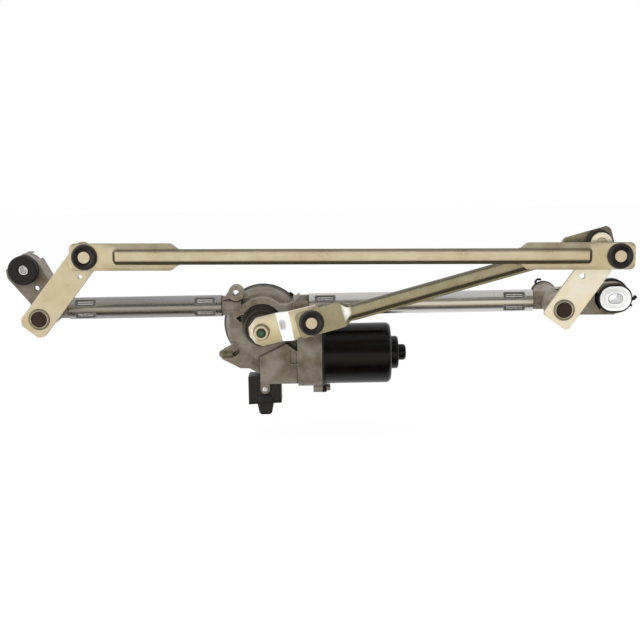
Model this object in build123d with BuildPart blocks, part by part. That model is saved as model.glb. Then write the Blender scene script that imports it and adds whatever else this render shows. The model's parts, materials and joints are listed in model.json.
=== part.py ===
from build123d import *
from math import atan2, cos, degrees, hypot, pi, radians, sin, sqrt
import os

# Tandem windscreen wiper linkage with its gear motor, in millimetres.
# X runs along the frame tubes, Z is up and the linkage faces -Y. A height is a distance in front of the tube
# axes, toward -Y. The origin is on the bore of the left grommet, in the plane of the tube axes.

# Driving dimensions: places of the main axes, as (X, Z)
left_grommet_centre = (0.0, 0.0)
right_grommet_centre = (590.3, -41.0)
left_spindle = (21.0, -44.0)
spindle_spacing = 508.0
right_spindle = (left_spindle[0] + spindle_spacing, left_spindle[1])
shaft_centre = (234.0, -66.0)
ear_centre = (208.5, -28.8)
tube_axis_z = -43.0
worm_axis_z = -97.5
worm_axis_height = -15.0

# Linkage: radii and rest angles of the four driven points
crank_radius = 51.7
crank_angle = 13.0
link_ball_radius = 73.0
link_ball_angle = 61.5
right_rod_ball_radius = 73.0
right_rod_ball_angle = 46.5
left_rod_ball_radius = 78.0
left_rod_ball_angle = 51.2
left_lever_angle = 51.5
right_lever_angle = 54.4

# Heights of the layers in front of the tube axes
lever_rear = 54.0
lever_front = 58.0
rod_ball_height = 67.0
link_ball_height = 45.0
crank_hub_rear = 22.0
crank_pin_rear = 32.0
crank_thickness = 4.0
plateau_height = -3.0
housing_rear = -26.0
cover_thickness = 2.0

# Frame tubes
tube_radius = 11.0
tube_wall = 2.0
left_tube_start, left_tube_end = 39.0, 193.3
right_tube_start, right_tube_end = 281.8, 508.3
crimp_depth = 1.4
crimp_width = 7.4
crimp_angles = (-34.0, 38.0)

# Spindles, their barrels and bushes
spindle_radius = 6.0
running_clearance = 0.03
bush_radius = 8.5
barrel_front, barrel_rear = 51.5, -46.0
thread_radius = 4.0
spindle_cone_start, spindle_cone_end, spindle_tip = -52.0, -61.0, -75.0

# Ball joints
ball_radius = 7.0
ball_flat = 4.13
neck_radius = 4.3
neck_depth = sqrt(ball_radius**2 - neck_radius**2)
socket_radius = 12.4
socket_reach = 6.2
socket_floor = 5.0
socket_lip = 0.85
socket_clearance = 0.06
open_socket_clearance = 2.1
stud_gap_over_crank = 0.3

# Motor
can_radius = 31.2
can_wall = 1.6
can_start, can_end = 296.2, 365.0
cup_radius, cup_end = 17.0, 372.9
knob_radius, knob_end = 8.3, 381.0
collar_radius = 33.3
collar_start, collar_end = 269.2, 294.0
motor_bolt_radius = 36.0
armature_shaft_radius = 4.0
worm_radius = 6.0
wheel_radius = 25.1
wheel_teeth = 55

os.makedirs("parts", exist_ok=True)


def polar(centre, radius, angle):
    """Point at a radius and an angle in degrees about a centre, as (X, Z)."""
    return (centre[0] + radius * cos(radians(angle)), centre[1] + radius * sin(radians(angle)))


def level(height):
    """Plane parallel to the linkage, facing the viewer: its x is X and its y is Z."""
    return Plane.XZ.offset(height)


def along(start, angle, height=0.0):
    """Level plane whose x runs from a start point at an angle."""
    direction = (cos(radians(angle)), 0, sin(radians(angle)))
    return Plane(origin=(start[0], -height, start[1]), x_dir=direction, z_dir=(0, -1, 0))


def plate(plane, points, thickness, radius=0.0, mode=Mode.ADD):
    """Flat piece with an outline of straight runs and rounded corners."""
    with BuildSketch(plane) as outline:
        with BuildLine():
            if radius:
                FilletPolyline(points, radius=radius, close=True)
            else:
                Polyline(points, close=True)
        make_face()
    extrude(outline.sketch, amount=thickness, mode=mode)


def disc(centre, radius, low, high, mode=Mode.ADD):
    """Round boss or hole between two heights."""
    with BuildSketch(level(low)) as outline:
        with Locations(centre):
            Circle(radius)
    extrude(outline.sketch, amount=high - low, mode=mode)


def turned(centre, profile, mode=Mode.ADD):
    """Turned shape about an axis through centre, across the linkage: profile points are (radius, height)."""
    plane = Plane(origin=(centre[0], 0, centre[1]), x_dir=(1, 0, 0), z_dir=(0, 0, -1))
    with BuildSketch(plane) as section:
        with BuildLine():
            Polyline(profile, close=True)
        make_face()
    revolve(section.sketch, axis=Axis(plane.origin, plane.y_dir), mode=mode)


def turned_along_x(axis_z, axis_height, profile, mode=Mode.ADD, radius=0.0):
    """Turned shape about an axis along X: profile points are (X, radius)."""
    plane = Plane(origin=(0, -axis_height, axis_z), x_dir=(1, 0, 0), z_dir=(0, -1, 0))
    with BuildSketch(plane) as section:
        with BuildLine():
            if radius:
                FilletPolyline(profile, radius=radius, close=True)
            else:
                Polyline(profile, close=True)
        make_face()
    revolve(section.sketch, axis=Axis(plane.origin, (1, 0, 0)), mode=mode)


def rod_along_x(axis_z, axis_height, radius, start, end, mode=Mode.ADD):
    """Cylinder about an axis along X."""
    turned_along_x(axis_z, axis_height, [(start, 0), (end, 0), (end, radius), (start, radius)], mode=mode)


def save(piece, name):
    """Label one finished piece and write its file."""
    piece.label = name
    export_step(piece, f"parts/{name}.step")


# Places that follow from the driving dimensions
crank_pin = polar(shaft_centre, crank_radius, crank_angle)
link_ball = polar(right_spindle, link_ball_radius, link_ball_angle)
right_rod_ball = polar(right_spindle, right_rod_ball_radius, right_rod_ball_angle)
left_rod_ball = polar(left_spindle, left_rod_ball_radius, left_rod_ball_angle)
link_length = hypot(link_ball[0] - crank_pin[0], link_ball[1] - crank_pin[1])
link_angle = degrees(atan2(link_ball[1] - crank_pin[1], link_ball[0] - crank_pin[0]))
rod_length = hypot(right_rod_ball[0] - left_rod_ball[0], right_rod_ball[1] - left_rod_ball[1])
rod_angle = degrees(atan2(right_rod_ball[1] - left_rod_ball[1], right_rod_ball[0] - left_rod_ball[0]))


# Frame tubes: steel, pressed at both ends into grooves of the castings
def frame_tube(start, end, crimp_spans):
    with BuildPart() as tube:
        rod_along_x(tube_axis_z, 0, tube_radius, start, end)
        rod_along_x(tube_axis_z, 0, tube_radius - tube_wall, start, end, mode=Mode.SUBTRACT)
        for low, high in crimp_spans:
            for angle in crimp_angles:
                outward = (0, -cos(radians(angle)), sin(radians(angle)))
                floor = Plane(origin=(0, 0, tube_axis_z), x_dir=(1, 0, 0), z_dir=outward)
                with BuildSketch(floor.offset(tube_radius - crimp_depth)) as pocket:
                    with Locations(((low + high) / 2, 0)):
                        RectangleRounded(high - low, crimp_width, 1.6)
                extrude(pocket.sketch, amount=4, mode=Mode.SUBTRACT)
    return tube.part


left_crimps = [(left_tube_start + 6.5, left_tube_start + 27.5), (left_tube_end - 27, left_tube_end - 6)]
right_crimps = [(right_tube_start + 6, right_tube_start + 27), (right_tube_end - 30, right_tube_end - 8)]
save(frame_tube(left_tube_start, left_tube_end, left_crimps), "left_tube")
save(frame_tube(right_tube_start, right_tube_end, right_crimps), "right_tube")


# Spindle barrel, with a waist behind its front end and a flange at the rear
def barrel(centre):
    profile = [(0, barrel_rear), (13.2, barrel_rear), (13.2, barrel_rear + 4), (12.4, barrel_rear + 6)]
    profile += [(12.4, 14), (11.5, 22), (11.0, barrel_front), (0, barrel_front)]
    turned(centre, profile)


def barrel_bore(centre):
    disc(centre, bush_radius, barrel_rear, barrel_front, mode=Mode.SUBTRACT)


# Left pivot housing: barrel, tube spigot and the forked arm that holds the left grommet
arm_front, arm_rear = 20.0, -6.0
grommet_groove_radius = 11.0
arm_wall = 3.5
with BuildPart() as left_pivot_housing:
    barrel(left_spindle)
    arm_outline = [(-18.8, 0.5), (-17.6, -8.6), (3.2, -33.4), (10.0, -52.0), (27.6, -52.0), (27.6, -16.0)]
    arm_outline += [(22.8, -9.4), (13.6, 8.0), (3.5, 15.5), (-1.5, 15.5), (-8.5, 4.0)]
    plate(level(arm_rear), arm_outline, arm_front - arm_rear, radius=[1.5, 6, 3, 8, 3, 3, 5, 7, 2.4, 1.5, 2])
    hollow = [(-6.0, -19.0), (7.5, -34.0), (24.0, -24.0), (14.8, -9.0), (6.0, -14.0)]
    plate(level(arm_rear), hollow, arm_front - arm_rear - 2 * arm_wall, radius=2.5, mode=Mode.SUBTRACT)
    disc(left_grommet_centre, grommet_groove_radius, arm_rear, arm_front, mode=Mode.SUBTRACT)
    disc(left_grommet_centre, 15.2, arm_rear, 6.2, mode=Mode.SUBTRACT)
    disc((10.7, -19.2), 2.7, arm_rear, arm_front, mode=Mode.SUBTRACT)
    rod_along_x(tube_axis_z, 0, tube_radius - 1.2, left_spindle[0] + 6, left_tube_start)
    rod_along_x(tube_axis_z, 0, tube_radius - tube_wall, left_tube_start, left_tube_start + 33)
    barrel_bore(left_spindle)
save(left_pivot_housing.part, "left_pivot_housing")

# Right pivot housing: barrel, tube spigot and the arm that ends in the eye of the right grommet
eye_groove_radius = 12.2
eye_radius = 16.0
eye_front, eye_rear = 9.0, -3.0
with BuildPart() as right_pivot_housing:
    barrel(right_spindle)
    with BuildSketch(level(eye_rear)) as arm:
        with Locations(right_grommet_centre):
            Circle(eye_radius)
        with BuildLine():
            Polyline([(529, -57), (591.0, -58.0), (592.0, -25.0), (560.0, -27.0), (529, -31)], close=True)
        make_face()
    extrude(arm.sketch, amount=eye_front - eye_rear)
    web = [(530, -49), (572, -50), (572, -36), (530, -39)]
    plate(level(eye_rear - 9), web, 9, radius=2)
    rod_along_x(tube_axis_z, 0, tube_radius - 1.6, right_tube_end, right_spindle[0] - 4)
    rod_along_x(tube_axis_z, 0, tube_radius - tube_wall, right_tube_end - 44, right_tube_end)
    disc(right_grommet_centre, eye_groove_radius, eye_rear, eye_front, mode=Mode.SUBTRACT)
    with BuildSketch(level(eye_rear)) as relief:
        with BuildLine():
            gap = [(570.5, -34), (575.5, -36), (575.0, -43), (579.0, -50), (575.5, -53), (570.5, -45)]
            Polyline(gap, close=True)
        make_face()
    extrude(relief.sketch, amount=eye_front - eye_rear, mode=Mode.SUBTRACT)
    barrel_bore(right_spindle)
save(right_pivot_housing.part, "right_pivot_housing")

# Gear housing: one aluminium casting that carries both tubes, the gears and the motor
bowl_radius = 37.8
rim_radius = 40.3
plateau_radius = 34.0
boss_radius = 19.6
tower_radius = 9.6
tower_top = 19.0
spigot_length = 15.0
block_front = 0.0
with BuildPart() as gear_housing:
    bowl = [(0, housing_rear), (rim_radius, housing_rear), (rim_radius, housing_rear + 3)]
    bowl += [(39.0, housing_rear + 3), (bowl_radius, -11), (35.8, -5), (plateau_radius, plateau_height)]
    bowl += [(0, plateau_height)]
    turned(shaft_centre, bowl)
    boss = [(0, plateau_height), (boss_radius, plateau_height), (boss_radius, 1), (boss_radius - 1, 2)]
    boss += [(tower_radius + 1.5, 2), (tower_radius, 4), (tower_radius, tower_top), (0, tower_top)]
    # Worm block below the bowl, with its stepped lower edge
    block = [(205, -80), (205, -106), (209.5, -109.5), (219.4, -109.8), (230.1, -116.0), (230.2, -118.0)]
    block += [(240.0, -125.6), (272.0, -125.9), (272.0, -70.0), (240.0, -60.0)]
    plate(level(housing_rear), block, plateau_height - 1 - housing_rear)
    front_block = [(230.1, -98), (230.2, -118.0), (240.0, -125.6), (272.0, -125.9)]
    front_block += [(272.0, -93.0), (258.0, -84.0)]
    plate(level(plateau_height - 2), front_block, block_front - plateau_height + 2)
    step = [(261.0, -89.8), (261.0, -105.5), (271.5, -105.5), (271.5, -96.0)]
    plate(level(block_front - 0.8), step, 2, mode=Mode.SUBTRACT)
    # Motor collar with its two bolt ears
    rod_along_x(worm_axis_z, worm_axis_height, collar_radius, collar_start, collar_end)
    for side in (-1, 1):
        ear_z = worm_axis_z + side * motor_bolt_radius
        with BuildSketch(Plane.YZ.offset(collar_end - 9.5)) as ear:
            with Locations((-worm_axis_height, ear_z)):
                Circle(5.2)
            with Locations((-worm_axis_height, ear_z - side * 6)):
                Rectangle(10.4, 12)
        extrude(ear.sketch, amount=9.5)
    # Tube stubs, their spigots and the arched bridge over the shaft boss
    rod_along_x(tube_axis_z, 0, tube_radius - 0.9, left_tube_end, 213)
    rod_along_x(tube_axis_z, 0, tube_radius - tube_wall, left_tube_end - spigot_length, left_tube_end)
    rod_along_x(tube_axis_z, 0, tube_radius - 1.2, 266, right_tube_start - 1.2)
    right_stub_end = right_tube_start - 1.2
    rod_along_x(tube_axis_z, 0, tube_radius - tube_wall, right_stub_end, right_tube_start + spigot_length)
    bridge = [(203.0, -37.0), (209.8, -41.6), (214.2, -41.3), (224.1, -35.6), (234.0, -34.0)]
    bridge += [(243.8, -35.8), (251.8, -41.3), (260.3, -41.9), (266.6, -38.8), (272.0, -33.4)]
    bridge += [(272.0, -52.4), (256.0, -60.0), (210.0, -60.0), (205.0, -52.8)]
    plate(level(housing_rear + 4), bridge, 9.0 - housing_rear - 4)
    disc(shaft_centre, boss_radius + 1.6, plateau_height, 12, mode=Mode.SUBTRACT)
    turned(shaft_centre, boss)
    # Fixing ear above the left stub
    ear_web = [(195.2, -35.5), (201.6, -26.4), (205.0, -22.8), (213.0, -22.8), (221.0, -34.0)]
    plate(level(0), ear_web, 9)
    disc(ear_centre, 7.9, 0, 12)
    disc(ear_centre, 3.25, -1, 13, mode=Mode.SUBTRACT)
    # Locating peg on the left with its webs and slot
    peg = [(189.4, -94.8), (191.5, -90.8), (198.9, -87.0), (207.0, -80.0), (214.0, -100.0), (209.5, -109.5)]
    peg += [(202.9, -105.6), (191.5, -99.8)]
    plate(level(-14), peg, 10, radius=[1.8, 2.5, 2, 1, 1, 2, 2, 2.5])
    with BuildSketch(level(-9)) as slot:
        with Locations((205.6, -93.6)):
            SlotOverall(8.5, 4.6, rotation=42)
    extrude(slot.sketch, amount=9, mode=Mode.SUBTRACT)
    peg_nose = [(188.0, 0), (188.4, 2.4), (190.4, 4.1), (201.0, 4.6), (201.0, 0)]
    turned_along_x(-94.6, -7.0, peg_nose)
    # Tab for the connector screw
    tab_arm = [(230.3, -112.0), (230.3, -131.0), (239.7, -131.0), (239.9, -120.0)]
    plate(level(block_front - 4), tab_arm, 4)
    disc((235.0, -131.0), 4.75, block_front - 4, block_front)
    # Draft pockets in the front face
    left_pocket = [(207.6, -54.4), (213.8, -51.2), (217.0, -53.6), (212.4, -61.2)]
    right_pocket = [(255.4, -82.4), (269.0, -92.8), (269.0, -77.2)]
    plate(level(-10), left_pocket, 22, radius=0.8, mode=Mode.SUBTRACT)
    plate(level(-10), right_pocket, 22, radius=0.8, mode=Mode.SUBTRACT)
    # Cavities: gear bowl, worm tunnel, brush chamber and shaft bore
    disc(shaft_centre, 28, housing_rear, -8, mode=Mode.SUBTRACT)
    rod_along_x(worm_axis_z, worm_axis_height, 8, 213, collar_end, mode=Mode.SUBTRACT)
    rod_along_x(worm_axis_z, worm_axis_height, 28, 277, collar_end, mode=Mode.SUBTRACT)
    disc(shaft_centre, 8, -10, tower_top, mode=Mode.SUBTRACT)
save(gear_housing.part, "gear_housing")

# Rear cover of the gear bowl, a dark pressing with a small locating tab
cover_rear = housing_rear - cover_thickness
cover_screw_places = [polar(shaft_centre, 34.5, angle) for angle in (30, 95, 160, 205)]
cover_screw_places += [(222.0, -104.5), (262.0, -118.0)]
with BuildPart() as gear_cover:
    cover_outline = [(204.5, -78), (204.5, -106), (209.5, -109.9), (219.4, -110.2), (230.0, -118.2)]
    cover_outline += [(240.0, -126.2), (268.6, -126.2), (268.6, -70.0), (240.0, -60.0)]
    disc(shaft_centre, rim_radius + 0.5, cover_rear, housing_rear)
    plate(level(cover_rear), cover_outline, cover_thickness)
    plate(level(cover_rear), [(258, -40), (262.0, -33.8), (266.0, -36.6), (262, -46)], cover_thickness)
    disc(shaft_centre, 24, cover_rear - 1.4, cover_rear)
    collar_room = collar_radius + 0.3
    room_start = collar_start - 0.3
    rod_along_x(worm_axis_z, worm_axis_height, collar_room, room_start, collar_end, mode=Mode.SUBTRACT)
save(gear_cover.part, "gear_cover")

with BuildPart() as cover_screws:
    for place in cover_screw_places:
        profile = [(0, cover_rear - 2.4), (2.2, cover_rear - 2.4), (3.6, cover_rear - 1.2)]
        profile += [(3.6, cover_rear), (0, cover_rear)]
        turned(place, profile)
save(cover_screws.part, "cover_screws")

# Output shaft, worm wheel and crank
shaft_tip = 35.4
with BuildPart() as output_shaft:
    profile = [(0, -23), (5.4, -23), (spindle_radius, -22.4), (spindle_radius, 20), (5, crank_hub_rear)]
    profile += [(5, crank_hub_rear + crank_thickness), (thread_radius, crank_hub_rear + crank_thickness)]
    profile += [(thread_radius, shaft_tip - 0.7), (thread_radius - 0.7, shaft_tip), (0, shaft_tip)]
    turned(shaft_centre, profile)
save(output_shaft.part, "output_shaft")

with BuildPart() as output_bush:
    turned(shaft_centre, [(spindle_radius + running_clearance, -8), (8, -8), (8, tower_top),
                          (spindle_radius + running_clearance, tower_top)])
save(output_bush.part, "output_bush")

with BuildPart() as worm_wheel:
    disc(shaft_centre, wheel_radius - 2, -20, -10)
    tooth_pitch = 2 * pi * wheel_radius / wheel_teeth
    with BuildSketch(level(-20)) as teeth:
        with Locations(shaft_centre):
            with PolarLocations(wheel_radius - 1.2, wheel_teeth):
                Trapezoid(tooth_pitch * 0.5, 2.4, 80, rotation=-90)
    extrude(teeth.sketch, amount=10)
    turned(shaft_centre, [(0, -22.5), (10, -22.5), (10, -8.5), (0, -8.5)])
    disc(shaft_centre, spindle_radius, -23, -8, mode=Mode.SUBTRACT)
    with BuildSketch(level(-20)) as windows:
        with Locations(shaft_centre):
            with PolarLocations(16, 6):
                Circle(3.6)
    extrude(windows.sketch, amount=10, mode=Mode.SUBTRACT)
save(worm_wheel.part, "worm_wheel")

# Motor crank: a plate bent forward between the shaft nut and the ball
crank_plane = along(shaft_centre, crank_angle)
crank_half_width = 14.7
bend_start, bend_end = 21.4, 30.6
crank_tip = crank_radius + 12.6
with BuildPart() as motor_crank:
    across = crank_plane.x_dir.cross(Vector(0, -1, 0))
    side_plane = Plane(origin=crank_plane.origin, x_dir=crank_plane.x_dir, z_dir=across)
    rise = crank_pin_rear - crank_hub_rear
    profile = [(-14, crank_hub_rear), (bend_start, crank_hub_rear), (bend_end, crank_pin_rear)]
    profile += [(crank_tip, crank_pin_rear), (crank_tip, crank_pin_rear + crank_thickness)]
    profile += [(bend_end - 1.8, crank_pin_rear + crank_thickness)]
    profile += [(bend_start - 1.8, crank_hub_rear + crank_thickness)]
    profile += [(-14, crank_hub_rear + crank_thickness)]
    with BuildSketch(side_plane) as side:
        with BuildLine():
            FilletPolyline(profile, radius=[0, 3, 3, 0, 0, 4, 4, 0], close=True)
        make_face()
    extrude(side.sketch, amount=20, both=True)
    blank = [(-2.3, crank_half_width), (-11.6, 7.0), (-12.6, -2.0), (-8.4, -10.4), (-2.0, -crank_half_width)]
    blank += [(33.0, -crank_half_width), (36.8, -12.6), (46.0, -13.6), (crank_tip - 5, -12.6)]
    blank += [(crank_tip, -6.0), (crank_tip, 7.0), (crank_tip - 5.4, crank_half_width)]
    plate(crank_plane.offset(crank_hub_rear - 1), blank, 20, radius=1.2, mode=Mode.INTERSECT)
    disc(shaft_centre, 5, 0, 60, mode=Mode.SUBTRACT)
    disc(crank_pin, 5, 0, 60, mode=Mode.SUBTRACT)
save(motor_crank.part, "motor_crank")

nut_seat = crank_hub_rear + crank_thickness
with BuildPart() as crank_nut:
    profile = [(0, nut_seat), (8.4, nut_seat), (8.4, nut_seat + 1), (7.2, nut_seat + 2), (0, nut_seat + 2)]
    turned(shaft_centre, profile)
    with BuildSketch(level(nut_seat + 1)) as hexagon:
        with Locations(shaft_centre):
            RegularPolygon(7.0, 6, major_radius=False, rotation=crank_angle)
    extrude(hexagon.sketch, amount=6.5)
    disc(shaft_centre, thread_radius, nut_seat, nut_seat + 8, mode=Mode.SUBTRACT)
save(crank_nut.part, "crank_nut")

with BuildPart() as crank_rivet:
    rivet_front = crank_pin_rear + crank_thickness
    profile = [(0, crank_pin_rear - 1.6), (5.6, crank_pin_rear - 1.6), (6.6, crank_pin_rear)]
    profile += [(5, crank_pin_rear), (5, rivet_front), (0, rivet_front)]
    turned(crank_pin, profile)
save(crank_rivet.part, "crank_rivet")


# Ball studs and their plastic sockets: facing is 1 for a ball in front of its plate and -1 behind it
def ball_stud(centre, ball_height, seat, rivet_end, facing, head=True):
    with BuildPart() as stud:
        plane = Plane(origin=(centre[0], 0, centre[1]), x_dir=(1, 0, 0), z_dir=(0, 0, -1))
        flat_radius = sqrt(ball_radius**2 - ball_flat**2)
        with BuildSketch(plane) as section:
            with BuildLine():
                Line((0, ball_height + facing * ball_flat), (flat_radius, ball_height + facing * ball_flat))
                ThreePointArc((flat_radius, ball_height + facing * ball_flat), (ball_radius, ball_height),
                              (neck_radius, ball_height - facing * neck_depth))
                collar = seat + facing * 1.6
                corners = [(neck_radius, ball_height - facing * neck_depth), (neck_radius, collar)]
                corners += [(7, collar), (7, seat)]
                if head:
                    corners += [(5, seat), (5, rivet_end), (5.6, rivet_end), (4.8, rivet_end - facing * 0.9)]
                    corners += [(0, rivet_end - facing * 0.9)]
                else:
                    corners += [(0, seat)]
                Polyline(corners)
                Line((0, corners[-1][1]), (0, ball_height + facing * ball_flat))
            make_face()
        revolve(section.sketch, axis=Axis(plane.origin, plane.y_dir))
    return stud.part


def socket(centre, ball_height, facing, clearance):
    lip = sqrt(ball_radius**2 - ball_flat**2) + socket_lip
    cavity = ball_radius + clearance
    mouth = max(lip, sqrt(ball_radius**2 - socket_floor**2) + clearance + 0.1)
    ends = [(mouth, -socket_reach), (socket_radius - 1, -socket_reach), (socket_radius, 1 - socket_reach)]
    ends += [(socket_radius, socket_reach - 1), (socket_radius - 1, socket_reach), (lip + 0.5, socket_reach)]
    ends += [(lip, socket_reach - 0.6), (lip, ball_flat + 0.4), (cavity, ball_flat + 0.4)]
    ends += [(cavity, -socket_floor), (mouth, -socket_floor)]
    with BuildPart() as ring:
        turned(centre, [(radius, ball_height + facing * offset) for radius, offset in ends])
    return ring.part


crank_front = crank_pin_rear + crank_thickness
stud_seat = crank_front + stud_gap_over_crank
save(ball_stud(crank_pin, link_ball_height, stud_seat, 0, 1, head=False), "crank_ball_stud")
save(ball_stud(link_ball, link_ball_height, lever_rear, lever_front, -1), "link_ball_stud")
save(ball_stud(right_rod_ball, rod_ball_height, lever_front, lever_rear, 1), "right_rod_ball_stud")
save(ball_stud(left_rod_ball, rod_ball_height, lever_front, lever_rear, 1), "left_rod_ball_stud")
save(socket(crank_pin, link_ball_height, 1, socket_clearance), "link_near_socket")
save(socket(link_ball, link_ball_height, -1, socket_clearance), "link_far_socket")
save(socket(right_rod_ball, rod_ball_height, 1, socket_clearance), "rod_right_socket")
save(socket(left_rod_ball, rod_ball_height, 1, open_socket_clearance), "rod_left_socket")


# Pressed rods of hat section, flat and wide round the sockets
def pressed_rod(start, angle, length, rear, wide_lengths, rib_inset, body_half):
    sheet = 2.4
    rib_rise = 5.6
    rib_taper = 20
    wide_half = 13.0
    end_reach = 14.6
    near, far = wide_lengths[0], length - wide_lengths[1]
    plane = along(start, angle, rear)
    with BuildPart() as rod:
        taper = 7.0
        blank = [(-end_reach, -8), (-end_reach + 3.4, -wide_half), (near - taper, -wide_half)]
        blank += [(near, -body_half), (far, -body_half), (far + taper, -wide_half)]
        blank += [(length + end_reach - 3.4, -wide_half), (length + end_reach, -8)]
        blank += [(x, -y) for x, y in reversed(blank)]
        corner_radii = [4, 1, 5, 4, 4, 5, 1, 4]
        plate(plane, blank, sheet, radius=corner_radii + corner_radii)
        with BuildSketch(plane) as rib:
            with Locations((length / 2, 0)):
                RectangleRounded(length - 2 * rib_inset, 2 * body_half, body_half * 0.55)
        extrude(rib.sketch, amount=rib_rise, taper=rib_taper)
        inside = body_half - sheet * 0.8
        with BuildSketch(plane) as hollow:
            with Locations((length / 2, 0)):
                RectangleRounded(length - 2 * rib_inset - 2 * sheet, 2 * inside, inside * 0.5)
        extrude(hollow.sketch, amount=rib_rise - sheet, taper=rib_taper, mode=Mode.SUBTRACT)
        for x in (0, length):
            with BuildSketch(plane) as eye:
                with Locations((x, 0)):
                    Circle(socket_radius)
            extrude(eye.sketch, amount=rib_rise, mode=Mode.SUBTRACT)
    return rod.part


rod_rear = rod_ball_height - 1.2
link_rear = link_ball_height - 1.5
save(pressed_rod(left_rod_ball, rod_angle, rod_length, rod_rear, (89.5, 95.4), 27.8, 7.4), "long_rod")
save(pressed_rod(crank_pin, link_angle, link_length, link_rear, (38.0, 38.0), 31.0, 7.1), "drive_link")


# Wiper levers: flat plates staked on their spindles
lever_eye_radius = 10.4
stake_ring_radius = 9.4


def lever(centre, angle, half_width, balls, foot, tip_reach, hole):
    plane = along(centre, angle, lever_rear)
    thickness = lever_front - lever_rear
    with BuildPart() as arm:
        blank = [(-foot[0], foot[1]), (-foot[0], -foot[1]), (foot[2] - foot[0], -half_width)]
        blank += [(tip_reach, -half_width), (tip_reach, half_width), (foot[2] - foot[0], half_width)]
        plate(plane, blank, thickness, radius=[2, 2, 3, 9, 9, 3])
        if len(balls) > 1:
            with BuildSketch(level(lever_rear)) as tip:
                for ball in balls:
                    with Locations(ball):
                        Circle(lever_eye_radius)
                with BuildLine():
                    corners = [polar(balls[0], lever_eye_radius, angle + 130)]
                    corners += [polar(balls[1], lever_eye_radius, angle - 60)]
                    corners += [polar(centre, 40, angle - 12), polar(centre, 40, angle + 12)]
                    Polyline(corners, close=True)
                make_face()
            extrude(tip.sketch, amount=thickness)
        disc(centre, stake_ring_radius, lever_front, lever_front + 0.7)
        disc(centre, 7.8, lever_rear, lever_front + 1, mode=Mode.SUBTRACT)
        disc(hole[0], hole[1], lever_rear, lever_front, mode=Mode.SUBTRACT)
        for ball in balls:
            disc(ball, 5, lever_rear, lever_front, mode=Mode.SUBTRACT)
    return arm.part


left_hole = (62.6, -3.2)
right_hole = (545.9, -11.2)
left_foot, right_foot = (15.4, 9.7, 5), (15.0, 12.4, 3)
left_blank = lever(left_spindle, left_lever_angle, 14.3, [left_rod_ball], left_foot, 88.4, (left_hole, 2.1))
right_balls = [link_ball, right_rod_ball]
right_blank = lever(right_spindle, right_lever_angle, 14.9, right_balls, right_foot, 62.0, (right_hole, 2.9))
save(left_blank, "left_lever")
save(right_blank, "right_lever")


def wiper_spindle(centre):
    with BuildPart() as spindle:
        profile = [(0, lever_front + 0.1), (7.3, lever_front + 0.1), (7.8, lever_front - 0.4)]
        profile += [(7.8, lever_rear), (spindle_radius, lever_rear)]
        profile += [(spindle_radius, -49.2), (5.4, -49.2), (5.4, -50.3)]
        profile += [(spindle_radius, -50.3), (spindle_radius, spindle_cone_start), (4.9, spindle_cone_end)]
        profile += [(thread_radius, spindle_cone_end), (thread_radius, spindle_tip + 0.8)]
        profile += [(thread_radius - 0.8, spindle_tip), (0, spindle_tip)]
        turned(centre, profile)
    return spindle.part


def spindle_bushes(centre):
    inner = spindle_radius + running_clearance
    with BuildPart() as bushes:
        for low, high in ((barrel_rear, barrel_rear + 16), (barrel_front - 16, barrel_front)):
            turned(centre, [(inner, low), (bush_radius, low), (bush_radius, high), (inner, high)])
    return bushes.part


def thrust_washer(centre):
    with BuildPart() as washer:
        low = barrel_front + 0.2
        turned(centre, [(spindle_radius, low), (9.5, low), (9.5, lever_rear), (spindle_radius, lever_rear)])
    return washer.part


def spindle_clip(centre):
    with BuildPart() as clip:
        turned(centre, [(5.4, -50.2), (9, -50.2), (9, -49.3), (5.4, -49.3)])
    return clip.part


# Soft seal cap at the rear of each barrel
def spindle_seal(centre):
    with BuildPart() as seal:
        profile = [(9.6, barrel_rear - 2.6), (12.0, barrel_rear - 2.6), (13.9, barrel_rear - 0.8)]
        profile += [(13.9, barrel_rear + 3), (13.2, barrel_rear + 3), (13.2, barrel_rear), (9.6, barrel_rear)]
        turned(centre, profile)
    return seal.part


for side, centre in (("left", left_spindle), ("right", right_spindle)):
    save(wiper_spindle(centre), f"{side}_spindle")
    save(spindle_bushes(centre), f"{side}_spindle_bushes")
    save(thrust_washer(centre), f"{side}_thrust_washer")
    save(spindle_clip(centre), f"{side}_spindle_clip")
    save(spindle_seal(centre), f"{side}_spindle_seal")

# Grommets and what lines them
sleeve_bore = 3.65
sleeve_radius = 4.9
sleeve_rear, sleeve_front = -1.5, 24.6
flange_front = 30.0
with BuildPart() as left_grommet:
    profile = [(sleeve_radius, -0.5), (12.5, -0.5), (14.4, 1), (14.4, 5), (13.6, 6.2)]
    profile += [(grommet_groove_radius, 6.2), (grommet_groove_radius, arm_front)]
    profile += [(14.2, arm_front), (14.6, arm_front + 0.8)]
    profile += [(14.6, arm_front + 3.6), (13.4, arm_front + 4.6), (13.4, arm_front + 5.6)]
    profile += [(14.6, arm_front + 6.6), (14.6, flange_front - 0.9), (13.6, flange_front)]
    profile += [(sleeve_radius + 0.6, flange_front), (sleeve_radius + 0.6, sleeve_front + 0.4)]
    profile += [(sleeve_radius, sleeve_front + 0.4)]
    turned(left_grommet_centre, profile)
save(left_grommet.part, "left_grommet")

with BuildPart() as left_grommet_sleeve:
    profile = [(sleeve_bore, sleeve_rear), (sleeve_radius, sleeve_rear)]
    profile += [(sleeve_radius, sleeve_front), (sleeve_bore, sleeve_front)]
    turned(left_grommet_centre, profile)
save(left_grommet_sleeve.part, "left_grommet_sleeve")

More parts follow.
